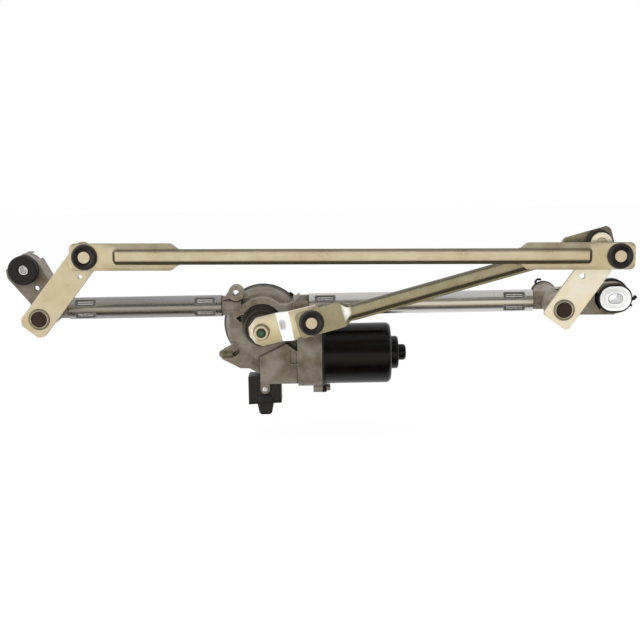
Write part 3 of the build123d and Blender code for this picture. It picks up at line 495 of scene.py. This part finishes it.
def soften(points, radius, closed=True):
    """Outline with each corner replaced by a short curve."""
    count = len(points)
    result = []
    for i, point in enumerate(points):
        if not closed and i in (0, count - 1):
            result.append(point)
            continue
        here = Vector(point)
        before, after = Vector(points[i - 1]) - here, Vector(points[(i + 1) % count]) - here
        start = here + before.normalized() * min(radius, before.length * 0.45)
        end = here + after.normalized() * min(radius, after.length * 0.45)
        for k in range(CORNER_STEPS + 1):
            t = k / CORNER_STEPS
            result.append(tuple((1 - t) ** 2 * start + 2 * t * (1 - t) * here + t ** 2 * end))
    return result


def obround(centre, length, width):
    """Outline with two straight runs and two half rounds, as (X, Z)."""
    half, radius = (length - width) / 2, width / 2
    points = []
    for side in (1, -1):
        for k in range(HALF_ROUND_SEGMENTS + 1):
            turn = -math.pi / 2 + math.pi * k / HALF_ROUND_SEGMENTS
            points.append((centre[0] + side * (half + radius * math.cos(turn)),
                           centre[1] + side * radius * math.sin(turn)))
    return points


def bridge(shape, first, second):
    """Faces between two rings of equal length, or between a ring and a single point."""
    if len(first) == 1 and len(second) == 1:
        return
    for k in range(max(len(first), len(second))):
        corners = []
        for vert in (first[k % len(first)], first[(k + 1) % len(first)],
                     second[(k + 1) % len(second)], second[k % len(second)]):
            if vert not in corners:
                corners.append(vert)
        shape.faces.new(corners)


def to_mesh(name, shape):
    mesh = bpy.data.meshes.new(name)
    shape.to_mesh(mesh)
    shape.free()
    return mesh


def skin(name, rings, ends="cap", split_caps=False):
    """Mesh over rings of points. Its two ends are capped, joined to each other or left open."""
    shape = bmesh.new()
    rings = [[shape.verts.new(point) for point in ring] for ring in rings]
    for first, second in zip(rings, rings[1:]):
        bridge(shape, first, second)
    if ends == "join":
        bridge(shape, rings[-1], rings[0])
    elif ends == "cap":
        shape.faces.new(rings[0])
        shape.faces.new(rings[-1])
    if split_caps:
        bmesh.ops.triangulate(shape, faces=[face for face in shape.faces if len(face.verts) > 4])
    bmesh.ops.recalc_face_normals(shape, faces=shape.faces)
    return to_mesh(name, shape)


def finish_mesh(name, mesh, body, finish, slot=None, crease=SMOOTH_BELOW):
    """Makes a smooth-shaded piece that rides on a body. The slot argument is not used."""
    mesh.validate()
    mesh.shade_smooth()
    mesh.set_sharp_from_angle(angle=math.radians(crease))
    obj = bpy.data.objects.new(name, mesh)
    bpy.context.scene.collection.objects.link(obj)
    mesh.materials.append(finishes[finish])
    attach(obj, body)
    slot = slot or finish
    return obj


def lathe(name, centre, profile, body, finish, slot=None, radius=0.4, segments=ROUND_SEGMENTS, closed=True):
    """Turned piece about an axis across the linkage: profile points are (radius, height)."""
    rings = [ring_across(centre, *point, segments) for point in soften(profile, radius, closed)]
    return finish_mesh(name, skin(name, rings, "join" if closed else "open"), body, finish, slot)


def turned_along_x(name, axis_height, axis_z, profile, finish, slot=None):
    """Turned piece of the frame about an axis along X: profile points are (X, radius)."""
    rings = []
    for x, radius in profile:
        points = circle(radius, TURNED_SEGMENTS) if radius else [(0.0, 0.0)]
        rings.append([place(x, axis_height + out, axis_z + up) for up, out in points])
    return finish_mesh(name, skin(name, rings, "join"), "frame", finish, slot)


def stack(name, loops, body, finish, ends="cap", crease=SMOOTH_BELOW):
    """Skin over loops of equal length, each an outline of (X, Z) with a height."""
    rings = [[place(x, height, z) for x, z in outline] for outline, height in loops]
    return finish_mesh(name, skin(name, rings, ends), body, finish, crease=crease)


def slab(name, outline, low, high, edge, radius):
    """Flat piece of the connector between two heights, with rounded corners and eased front edges."""
    points = soften(outline, radius)
    middle = Vector((sum(x for x, z in points), sum(z for x, z in points))) / len(points)

    def shrunk(amount):
        result = []
        for i, (x, z) in enumerate(points):
            along = Vector(points[(i + 1) % len(points)]) - Vector(points[i - 1])
            inward = Vector((-along.y, along.x)).normalized()
            if inward.dot(middle - Vector((x, z))) < 0:
                inward = -inward
            result.append((x + inward.x * amount, z + inward.y * amount))
        return result

    loops = [(points, low), (points, high - edge)]
    loops += [(shrunk(edge * 0.3), high - edge * 0.3), (shrunk(edge), high)]
    return stack(name, loops, "frame", "connector_plastic")


TAIL_STEPS = 18
TAIL_SIDES = 20


def rubber_tail(name, points, radii):
    """Round tail along a smooth line through points in millimetres, with radii at shares of its length."""
    spots = [Vector(place(*point)) for point in points]
    spots = [spots[0] * 2 - spots[1]] + spots + [spots[-1] * 2 - spots[-2]]
    line = []
    spans = len(points) - 1
    for k in range(TAIL_STEPS + 1):
        whole = min(int(k * spans / TAIL_STEPS), spans - 1)
        t = k * spans / TAIL_STEPS - whole
        a, b, c, d = spots[whole:whole + 4]
        bow = (2 * a - 5 * b + 4 * c - d) * t ** 2 + (3 * b - a - 3 * c + d) * t ** 3
        line.append(0.5 * (2 * b + (c - a) * t + bow))
    rings = []
    for k, spot in enumerate(line):
        run = (line[min(k + 1, TAIL_STEPS)] - line[max(k - 1, 0)]).normalized()
        other = run.cross(Vector((0, 1, 0))).normalized()
        across = run.cross(other)
        radius = value_at(radii, k / TAIL_STEPS) * MM
        rings.append([spot + across * u + other * v for u, v in circle(radius, TAIL_SIDES)])
    return finish_mesh(name, skin(name, rings), "frame", "black_rubber", crease=60.0)


def cut_mesh(name, mesh, cutters):
    """The mesh without the room that the closed cutter meshes take up."""
    blank = bpy.data.objects.new(name + "_blank", mesh)
    bpy.context.scene.collection.objects.link(blank)
    for cutter_mesh in cutters:
        cutter = bpy.data.objects.new("cutter", cutter_mesh)
        bpy.context.scene.collection.objects.link(cutter)
        modifier = blank.modifiers.new("hole", "BOOLEAN")
        modifier.operation = "DIFFERENCE"
        modifier.solver = "EXACT"
        modifier.object = cutter
    cut = bpy.data.meshes.new_from_object(blank.evaluated_get(bpy.context.evaluated_depsgraph_get()))
    if not cut.vertices:
        raise RuntimeError(name + " came out empty")
    cut.name = name
    for modifier in list(blank.modifiers):
        bpy.data.objects.remove(modifier.object)
    bpy.data.objects.remove(blank)
    return cut


# The recess over the output shaft: the raised centre of its outer arc, and the angles it runs through
RECESS_CENTRE = (SHAFT[0], SHAFT[1] + 4.8)
RECESS_ANGLES = range(-12, 193, 3)
RECESS_TOP = 12.0
RECESS_RADII = (20.8, 19.75)
# Radii of the dark crescent of painted shade on the recess's floor
RECESS_SHADE_RADII = (20.7, 19.9)


def crescent(name, low, high, outer_radius, inner_radius):
    """Closed crescent between the recess's outer arc and an inner arc round the shaft."""
    sections = []
    for angle in RECESS_ANGLES:
        outer = polar(RECESS_CENTRE, outer_radius, angle)
        inner = polar(SHAFT, inner_radius, angle)
        corners = ((outer, low), (outer, high), (inner, high), (inner, low))
        sections.append([place(x, height, z) for (x, z), height in corners])
    return skin(name, sections)


def recessed_housing():
    """Gear housing with the deep crescent recess between its bridge and the shaft seal, and a dark crescent
    on the recess's floor that paints its shade.
    """
    original = nodes["gear_housing"]
    shape = bmesh.new()
    shape.from_mesh(original.data)
    shape.transform(original.matrix_world)
    bmesh.ops.remove_doubles(shape, verts=shape.verts, dist=0.0005 * MM)
    cutter = crescent("cutter", PLATEAU + 0.05, RECESS_TOP, *RECESS_RADII)
    cut = cut_mesh("gear_housing_casting", to_mesh("gear_housing_casting", shape), [cutter])
    piece = finish_mesh("gear_housing_casting", cut, "frame", "casting", crease=11.0)
    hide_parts("gear_housing")
    # Dark crescent on the recess's floor: painted shade
    recess_shade_sheet = crescent("recess_shade", PLATEAU - 0.3, PLATEAU + 0.35, *RECESS_SHADE_RADII)
    finish_mesh("recess_shade", recess_shade_sheet, "frame", "seal_rubber_and_recess_shade", "casting")


# A pressed rod's plate: its reach past the socket's centre, its half width, and how that grows from its
# round end
PLATE_REACH = 14.6
PLATE_HALF = 13.0
PLATE_END = ((0.0, 8.0), (0.25, 9.1), (0.8, 10.4), (1.7, 11.7), (2.9, 12.6), (4.2, 12.95), (5.6, PLATE_HALF))
# Where the plate narrows to the rod's body, about the length that is given for it
NARROWING = (-8.5, -7.0, -5.5, -3.5, -1.5, 0.0, 1.5)
EYE_RADIUS = 12.2
EYE_SPAN = (-3.0, 9.0)
RIB_RISE = 3.2
RIB_WALL = 2.2
RIB_HOLLOW = 3.0
# A narrower rib begins at this share of its width, and is full this far past the start of its ramp
RIB_START = 0.64
RIB_GROWTH = 4.5
# Sections of a rib's two walls from its foot to its crown, as (inset, rise)
UPPER_WALL = ((0.15, 0.3), (0.6, 1.25), (1.15, 2.3), (1.7, 2.85), (2.5, 3.12), (3.2, RIB_RISE))
LOWER_WALL = ((0.1, 0.1), (0.5, 0.5), (1.4, 1.25), (2.4, 2.1), (3.2, 2.75), (3.8, 3.08), (4.5, RIB_RISE))
# The flange that is left below a rib as wide as its rod
LINK_SHELF = 2.3


def channel_section(wide_half, rib_half, lift, shelf):
    """Section of a pressed rod as (across, height over its rear face): flanges, walls and a crowned rib."""

    def flange(half):
        foot = max(min(rib_half + 0.5, half - 0.01), rib_half)
        return [(half, 0.0), (half, SHEET - 0.5), (half - 0.15, SHEET - 0.15),
                (max(half - 0.5, rib_half), SHEET), (foot, SHEET)]

    front = flange(wide_half)
    front += [(rib_half - inset, SHEET + rise * lift) for inset, rise in UPPER_WALL]
    front += [(0.0, SHEET + RIB_RISE * lift)]
    front += [(inset - rib_half, SHEET + rise * lift) for inset, rise in reversed(LOWER_WALL)]
    front += [(-across, height) for across, height in reversed(flange(wide_half + shelf * lift))]
    inner, ceiling = max(rib_half - RIB_WALL, 0.5), RIB_HOLLOW * lift
    return front + [(-inner, 0.0), (-inner * 0.8, ceiling), (inner * 0.8, ceiling), (inner, 0.0)]


def pressed_rod(name, start, end, rear, plates, body_half, ramp, same_width, body, finish):
    """Rod pressed from sheet: wide plates round its sockets, and a raised channel between them. The lengths
    of the plates and the ramp on which the channel rises count from the sockets. A channel of the same width
    takes up the whole body, and another leaves a flange on both sides of it."""
    run = Vector(end) - Vector(start)
    length = run.length
    run.normalize()
    across = Vector((-run.y, run.x))
    near, far = plates[0], length - plates[1]

    def stations(plate):
        stops = [stop - PLATE_REACH for stop, _ in PLATE_END]
        stops += [ramp[0] + (ramp[1] - ramp[0]) * k / 10 for k in range(11)]
        return stops + [plate + stop for stop in NARROWING]

    stops = stations(plates[0]) + [length - u for u in stations(plates[1])]
    stops += [near + (far - near) * k / 12 for k in range(1, 12)]
    rings = []
    last = -math.inf
    for u in sorted(stops):
        if u - last < 0.05:
            continue
        last = u
        half = value_at(PLATE_END, min(u, length - u) + PLATE_REACH)
        narrow = min(smooth_step(u, near + NARROWING[0], near + NARROWING[-1]),
                     1 - smooth_step(u, far - NARROWING[-1], far - NARROWING[0]))
        half -= (PLATE_HALF - body_half) * narrow
        inward = min(u, length - u)
        if same_width:
            rib, shelf = half, min(LINK_SHELF, PLATE_HALF - half)
        else:
            growth = min(max(inward - ramp[0], 0) / RIB_GROWTH, 1) ** 0.5
            rib, shelf = min(body_half * (RIB_START + (1 - RIB_START) * growth), half), 0.0
        ring = []
        for v, height in channel_section(half, rib, smooth_step(inward, *ramp), shelf):
            spot = Vector(start) + run * u + across * v
            ring.append(place(spot.x, rear + height, spot.y))
        rings.append(ring)
    eyes = [skin("cutter", [ring_across(centre, EYE_RADIUS, rear + height) for height in EYE_SPAN])
            for centre in (start, end)]
    mesh = cut_mesh(name, skin(name, rings, split_caps=True), eyes)
    return finish_mesh(name, mesh, body, finish, "yellow_zinc", 40.0)


def rods():
    rod = pressed_rod("long_rod_pressing", LEFT_ROD_BALL, RIGHT_ROD_BALL, ROD_BALL_HEIGHT - 1.2,
                      (89.5, 95.4), 7.4, (26.2, 30.2), False, "tie_rod_body", "rod_zinc")
    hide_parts("long_rod")
    link = pressed_rod("drive_link_pressing", CRANK_PIN, LINK_BALL, LINK_BALL_HEIGHT - 1.5, (38.0, 38.0), 7.1,
                       (29.5, 43.0), True, "drive_link_body", "link_zinc")
    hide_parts("drive_link")


def ball_sockets():
    """Moulded sockets: a thick rounded ring with a dished front, and a lip that closes round the ball's flat.
    The left one of the long rod is open inside, for the play that its ball needs."""
    front = [(6.55, -6.2), (11.0, -6.2), (12.4, -5.0), (12.4, 2.6), (11.9, 4.6), (10.6, 6.0), (9.6, 6.2),
             (8.5, 5.5), (7.4, 4.95), (6.6, 4.9), (6.5, 4.55)]
    for name, centre, height, facing, body, inside in (
            ("link_near_socket", CRANK_PIN, LINK_BALL_HEIGHT, 1, "drive_link_body", 7.12),
            ("link_far_socket", LINK_BALL, LINK_BALL_HEIGHT, -1, "drive_link_body", 7.12),
            ("rod_right_socket", RIGHT_ROD_BALL, ROD_BALL_HEIGHT, 1, "tie_rod_body", 7.12),
            ("rod_left_socket", LEFT_ROD_BALL, ROD_BALL_HEIGHT, 1, "tie_rod_body", 9.1)):
        outline = front + [(inside, 4.5), (inside, -5.0), (6.55, -5.1)]
        profile = [(radius, height + facing * offset) for radius, offset in outline]
        piece = lathe(name + "_moulding", centre, profile, body, "socket_plastic", radius=0.5)
        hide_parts(name)


def motor_crank():
    """Crank plate with its forward bend, wide round the shaft and narrower toward the ball."""
    angle = math.radians(CRANK_ANGLE)
    run = Vector((math.cos(angle), math.sin(angle)))
    across = Vector((-run.y, run.x))
    upper = [(-12.6, -1.2), (-11.6, 7.0), (-2.3, 14.7), (58.9, 14.7), (64.3, 7.0)]
    lower = [(-12.6, -2.0), (-8.4, -10.4), (-2.0, -14.7), (33.0, -14.7), (36.8, -12.6), (46.0, -13.6),
             (59.3, -12.6), (64.3, -6.0)]
    front = [(17.6, 26.0), (18.8, 26.25), (20.0, 27.0), (29.0, 34.9), (30.4, 35.7), (31.8, 36.0)]
    more_places = {-7.0, 5.0, 24.5, 50.0, 61.8}
    thickness = 4.0
    rings = []
    for u in sorted({u for line in (upper, lower, front) for u, _ in line} | more_places):
        top, bottom, height = value_at(upper, u), value_at(lower, u), value_at(front, u)
        slope = value_at(front, u + 0.5) - value_at(front, u - 0.5)
        ease = min(0.5, (top - bottom) * 0.3)
        section = [(top, -thickness), (top, -ease), (top - ease * 0.3, -ease * 0.3), (top - ease, 0.0)]
        section += [(bottom + ease, 0.0), (bottom + ease * 0.3, -ease * 0.3)]
        section += [(bottom, -ease), (bottom, -thickness)]
        ring = []
        for v, depth in section:
            shift = slope * thickness * 0.55 if depth == -thickness else 0.0
            spot = Vector(SHAFT) + run * (u + shift) + across * v
            ring.append(place(spot.x, height + depth, spot.y))
        rings.append(ring)
    mesh = skin("crank_pressing", rings)
    piece = finish_mesh("crank_pressing", mesh, "crank", "crank_zinc", "yellow_zinc", 42.0)
    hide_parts("motor_crank")


def crank_nut():
    """Flanged hexagon nut with a turned chamfer. Each row is a height, the largest radius there, and whether
    the nut is a hexagon there."""
    half_flats = 7.0
    loops = []
    for height, limit, hexagonal in (
            (26.0, 8.4, False), (26.7, 8.4, False), (27.5, 7.9, False), (27.9, 7.6, False),
            (28.0, 9.0, True), (32.2, 9.0, True), (33.0, 7.9, True), (33.5, 7.0, True),
            (33.5, 4.9, False), (33.1, 4.15, False), (26.0, 4.15, False)):
        outline = []
        for k in range(ROUND_SEGMENTS):
            turn = 2 * math.pi * k / ROUND_SEGMENTS
            reach = limit
            if hexagonal:
                from_flat = (turn - math.radians(CRANK_ANGLE)) % (math.pi / 3) - math.pi / 6
                reach = min(limit, half_flats / math.cos(from_flat))
            outline.append((SHAFT[0] + reach * math.cos(turn), SHAFT[1] + reach * math.sin(turn)))
        loops.append((outline, height))
    piece = stack("crank_hexagon_nut", loops, "crank", "yellow_zinc", "join", 24.0)
    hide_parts("crank_nut")


def outward(degrees):
    """Direction out of a round body that lies along X, at an angle over its front."""
    turn = math.radians(degrees)
    return Vector((0, -math.cos(turn), math.sin(turn)))


def frame_details():
    """Rounded locating peg, the shadow gaps where tubes meet castings, and the crimps that hold the tubes."""
    nose = [(187.9, 0.0), (188.1, 1.6), (188.8, 2.9), (190.0, 3.9), (191.6, 4.5), (193.6, 4.75), (202.4, 4.8),
            (202.4, 0.0)]
    turned_along_x("locating_peg_nose", -7.0, -94.6, nose, "peg_metal", "casting")
    for name, low, high, radius in (
            ("left_tube_outer", 38.4, 39.05, 10.2), ("left_tube_inner", 193.25, 194.0, 10.35),
            ("right_tube_inner", 280.7, 281.85, 10.0), ("right_tube_outer", 508.25, 509.1, 9.9)):
        ring = [(low, radius - 1.5), (low, radius), (high, radius), (high, radius - 1.5)]
        turned_along_x("gap_" + name, 0.0, TUBE_AXIS_Z, ring, "dark_steel")
    for tube, spans in (("left", ((45.5, 66.5), (166.3, 187.3))),
                        ("right", ((287.8, 308.8), (478.3, 500.3)))):
        for index, (low, high) in enumerate(spans):
            for level, degrees in (("lower", -34.0), ("upper", 38.0)):
                crimp(f"{tube}_crimp_{level}_{index}", low, high, degrees)
                crimp_highlight_ridges(f"{tube}_crimp_ridges_{level}_{index}", low, high, degrees)


# A pocket's half width, corner radius, rear and floor, and its walls as (inset, share of the way down).
# The first ring closes its rear.
POCKET_HALF = 3.7
POCKET_CORNER = 1.6
POCKET_REAR = 9.3
POCKET_FLOOR = 9.72
# The ring at inset -0.5 and share 0 lies just over the tube round the pocket, an outline of painted shade
POCKET_WALL = ((-0.5, None), (-0.5, 0.0), (-0.1, 0.06), (0.3, 0.35), (0.7, 0.75), (1.1, 0.95), (1.7, 1.0))


def crimp(name, low, high, degrees):
    """Pocket pressed into a tube: sloped walls and a flat floor that follow the tube's curve, in a darker
    copy of the tube's steel that paints the pocket's shade.
    """
    out = outward(degrees)
    side = Vector((0, out.z, -out.y))
    middle, half_length = (low + high) / 2, (high - low) / 2
    rings = []
    for inset, share in POCKET_WALL:
        ring = []
        radius = max(POCKET_CORNER - inset, 0.3)
        for quarter, (sx, sz) in enumerate(((1, 1), (-1, 1), (-1, -1), (1, -1))):
            for k in range(7):
                angle = math.pi / 2 * (quarter + k / 6)
                along = sx * (half_length - inset - radius) + radius * math.cos(angle)
                up = sz * (POCKET_HALF - inset - radius) + radius * math.sin(angle)
                wall = math.sqrt(TUBE_RADIUS ** 2 - up ** 2) + 0.03
                height = POCKET_REAR if share is None else wall * (1 - share) + POCKET_FLOOR * share
                ring.append((Vector((middle + along, 0, TUBE_AXIS_Z)) + side * up + out * height) * MM)
        rings.append(ring)
    finish_mesh(name, skin(name, rings), "frame", "pocket_shade_steel", "tube_steel", 50.0)


RIDGE_OFFSETS = (-1.15, 1.15)
RIDGE_WIDTH = 1.1
RIDGE_DEPTH = 0.9
RIDGE_RISE = 0.13
RIDGE_ROUNDING = 0.25
RIDGE_SHORTER = 5.5


def crimp_highlight_ridges(name, low, high, degrees):
    """The two ridges along a pocket's floor, in bright steel that paints highlight lines on it."""
    shape = bmesh.new()
    for offset in RIDGE_OFFSETS:
        size = Matrix.Diagonal((high - low - RIDGE_SHORTER, RIDGE_WIDTH, RIDGE_DEPTH, 1.0))
        bar = Matrix.Translation(((low + high) / 2, offset, POCKET_FLOOR + RIDGE_RISE)) @ size
        bmesh.ops.create_cube(shape, size=1.0, matrix=bar)
    edges = list(shape.edges)
    bmesh.ops.bevel(shape, geom=edges, offset=RIDGE_ROUNDING, segments=2, profile=0.5, affect="EDGES")
    mesh = to_mesh(name, shape)
    out = outward(degrees)
    upright = Matrix((Vector((1, 0, 0)), Vector((0, out.z, -out.y)), out)).transposed().to_4x4()
    mesh.transform(Matrix.Scale(MM, 4) @ Matrix.Translation((0, 0, TUBE_AXIS_Z)) @ upright)
    finish_mesh(name, mesh, "frame", "bright_steel", "tube_steel", 60.0)


def lever_details():
    """Rolled stake rings round the spindle ends, with a dark ring of painted shade in their crease, and
    another round them on the lever that paints the shade of a groove.
    """
    ring = [(7.85, 0.3), (9.9, 0.3), (9.7, 0.75), (9.3, 1.0), (8.95, 0.62), (8.6, 1.05), (8.1, 1.05)]
    seam_shade = [(8.82, 0.5), (9.08, 0.5), (9.08, 0.8), (8.82, 0.8)]
    groove_shade = [(9.95, -0.4), (10.35, -0.4), (10.35, 0.06), (9.95, 0.06)]
    for side, centre in (("left", LEFT_SPINDLE), ("right", RIGHT_SPINDLE)):
        for name, profile, finish, radius in (("ring", ring, "yellow_zinc", 0.2),
                                              ("seam_shade", seam_shade, "dark_steel", 0.05),
                                              ("groove_shade", groove_shade, "dark_steel", 0.05)):
            raised = [(distance, LEVER_FRONT + height) for distance, height in profile]
            lathe(f"{side}_stake_{name}", centre, raised, side + "_lever_body", finish, radius=radius)


def shaft_end():
    """Green inspection paint on the shaft end, a dark thread ring, and the dark seal behind the crank."""
    paint = [(0.0, 35.42), (3.3, 35.42), (3.2, 35.75), (2.0, 35.95), (0.0, 36.0)]
    lathe("shaft_paint", SHAFT, paint, "crank", "green_paint", radius=0.15, closed=False)
    thread = [(3.3, 34.6), (4.4, 34.6), (4.4, 35.2), (3.9, 35.5), (3.3, 35.5)]
    lathe("shaft_thread_ring", SHAFT, thread, "crank", "dark_steel", radius=0.1)
    seal = [(10.4, 1.9), (19.4, 1.9), (19.2, 3.9), (18.2, 4.9), (17.2, 4.7), (16.4, 3.4), (15.4, 3.4),
            (13.6, 5.6), (10.4, 6.0)]
    lathe("shaft_dust_seal", SHAFT, seal, "frame", "seal_rubber_and_recess_shade", "black_rubber")


def cover_rim():
    """Black rolled edge of the rear cover, seen round the rim of the gear bowl."""
    rim = [(38.0, -28.6), (40.6, -28.6), (41.2, -27.8), (41.2, -24.6), (40.8, -23.4), (40.35, -23.4),
           (40.35, -28.0), (38.0, -28.0)]
    lathe("cover_rolled_rim", SHAFT, rim, "frame", "black_paint", radius=0.3, segments=120)


def slot_washer():
    """Pressed washer of the right grommet: an obround dish with a rolled edge round its slot, and a dark
    ring beside that, painted shadow of the gap round the slot. Each row is a length, a width and a height."""
    face = [(31.4, 24.8, 12.8), (31.4, 24.8, 13.9), (30.9, 24.3, 14.35), (29.6, 23.0, 14.45),
            (25.8, 19.4, 14.25), (24.4, 18.2, 13.75), (22.6, 16.6, 13.6), (20.6, 15.0, 13.75),
            (19.0, 13.6, 14.3), (17.2, 12.2, 14.4), (15.2, 10.6, 14.2), (14.0, 9.6, 13.8),
            (13.6, 9.2, 13.0), (13.6, 9.2, -8.9), (16.5, 12.1, -8.9), (16.5, 12.1, 12.8)]
    seam_shade = [(14.7, 10.3, 13.7), (14.7, 10.3, 14.16), (13.9, 9.5, 14.16), (13.9, 9.5, 13.7)]

    def loops(rows):
        return [(obround(RIGHT_GROMMET, length, width), height) for length, width, height in rows]

    piece = stack("slot_washer_pressing", loops(face), "frame", "white_zinc", "join", 50.0)
    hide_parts("right_grommet_washer")
    # Dark ring round the slot: painted shadow of the gap between washer and sleeve
    stack("slot_washer_seam", loops(seam_shade), "frame", "dark_steel", "join")


def rubber_tails():
    """Moulding tails that stand out of the grommets and seals."""
    blob = ((0, 1.5), (0.3, 1.2), (0.55, 1.7), (0.8, 2.1), (0.94, 1.8), (1, 0.9))
    hook = ((0, 1.3), (0.5, 1.1), (0.8, 1.2), (0.95, 1.0), (1, 0.5))
    for name, points, radii in (
            ("right_grommet_tail_upper", ((605.5, 11.0, -43.0), (609.0, 11.5, -41.6), (611.0, 12.0, -38.4)),
             blob),
            ("right_grommet_tail_lower", ((604.5, 11.0, -47.0), (606.4, 11.3, -48.0), (607.6, 11.6, -49.0)),
             hook),
            ("right_seal_tail", ((521.6, -45.0, -34.0), (520.8, -45.6, -30.6), (523.2, -46.2, -28.4),
                                 (527.0, -46.4, -28.8)), hook),
            ("left_seal_tail", ((24.0, -45.0, -32.5), (25.6, -45.8, -29.0), (28.6, -46.4, -28.4)), hook)):
        rubber_tail(name, points, radii)


# The motor's axis as (height, Z), its can's radius, and its bolts: where their heads begin, and how far they
# are from the axis
MOTOR_AXIS = (-15.0, -97.5)
CAN_RADIUS = 31.1
BOLT_START = 298.2
BOLT_DISTANCE = 36.0
PRESS_MARK_RADIUS = 1.5
PRESS_MARK_FLATNESS = 0.22


def hexagon_head(name, centre_z):
    """Hexagon bolt head with a washer face, along X, on the motor's rear side."""
    sides = 24
    rings = []
    for x, radius, hexagonal in ((0.0, 4.0, False), (0.8, 4.0, False), (0.8, 3.3, False), (1.0, 3.75, True),
                                 (3.5, 3.75, True), (4.0, 3.2, True)):
        ring = []
        for k in range(sides):
            turn = 2 * math.pi * k / sides
            reach = radius
            if hexagonal:
                reach = radius * math.cos(math.pi / 6) / math.cos((turn % (math.pi / 3)) - math.pi / 6)
            ring.append(place(BOLT_START + x, MOTOR_AXIS[0] - reach * math.cos(turn),
                              centre_z + reach * math.sin(turn)))
        rings.append(ring)
    return finish_mesh(name, skin(name, rings), "frame", "yellow_zinc", crease=25.0)


def motor_details():
    """Hexagon heads of the motor bolts, and the press marks that hold the magnets in the can."""
    upper = hexagon_head("motor_bolt_upper", MOTOR_AXIS[1] + BOLT_DISTANCE)
    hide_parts("motor_bolts")
    hexagon_head("motor_bolt_lower", MOTOR_AXIS[1] - BOLT_DISTANCE)
    for index, (x, degrees) in enumerate(((350.5, 68.0), (305.5, -62.0), (350.5, -118.0), (350.5, 112.0))):
        out = outward(degrees)
        spot = Vector(place(x, *MOTOR_AXIS)) + out * CAN_RADIUS * MM
        shape = bmesh.new()
        bmesh.ops.create_uvsphere(shape, u_segments=20, v_segments=10, radius=PRESS_MARK_RADIUS * MM)
        mesh = to_mesh(f"can_press_mark_{index}", shape)
        turn = out.to_track_quat("Z", "Y").to_matrix().to_4x4()
        flat = Matrix.Diagonal((1.0, 1.0, PRESS_MARK_FLATNESS, 1.0))
        mesh.transform(Matrix.Translation(spot) @ turn @ flat)
        finish_mesh(f"can_press_mark_{index}", mesh, "frame", "dark_steel")


CONNECTOR_FRONT = -4.0


def connector_details():
    """Latch ribs and a keyway on the front of the connector shroud. Each form is a name, an outline, a
    height, an eased edge and a corner radius."""
    ribs = ((220.6, -146.2, -121.5, 1.3), (225.6, -146.2, -121.5, 1.0), (248.4, -145.2, -128.0, 1.3),
            (243.6, -145.2, -135.6, 1.0))
    forms = []
    for index, (x, low, high, width) in enumerate(ribs):
        left, right = x - width / 2, x + width / 2
        outline = [(left, low), (right, low), (right, high), (left, high)]
        forms.append((f"connector_rib_{index}", outline, 0.7, 0.25, 0.3))
    lip = [(217.2, -147.8), (251.6, -146.5), (251.6, -144.9), (217.2, -146.2)]
    latch = [(227.6, -147.0), (228.6, -138.6), (241.0, -138.2), (242.2, -146.4)]
    forms += [("connector_lip", lip, 1.1, 0.4, 0.3), ("connector_latch", latch, 1.8, 0.5, 0.8)]
    for name, outline, height, edge, radius in forms:
        slab(name, outline, CONNECTOR_FRONT - 0.4, CONNECTOR_FRONT + height, edge, radius)


camera()
studio()
floor()
finishes = {name: surface(name, colour, metallic, roughness, **rest)
            for name, colour, metallic, roughness, rest in FINISHES}
finish_nodes()
recessed_housing()
rods()
ball_sockets()
motor_crank()
crank_nut()
frame_details()
lever_details()
shaft_end()
cover_rim()
slot_washer()
rubber_tails()
motor_details()
connector_details()

bpy.context.scene.view_settings.view_transform = "Standard"
bpy.context.view_layer.update()
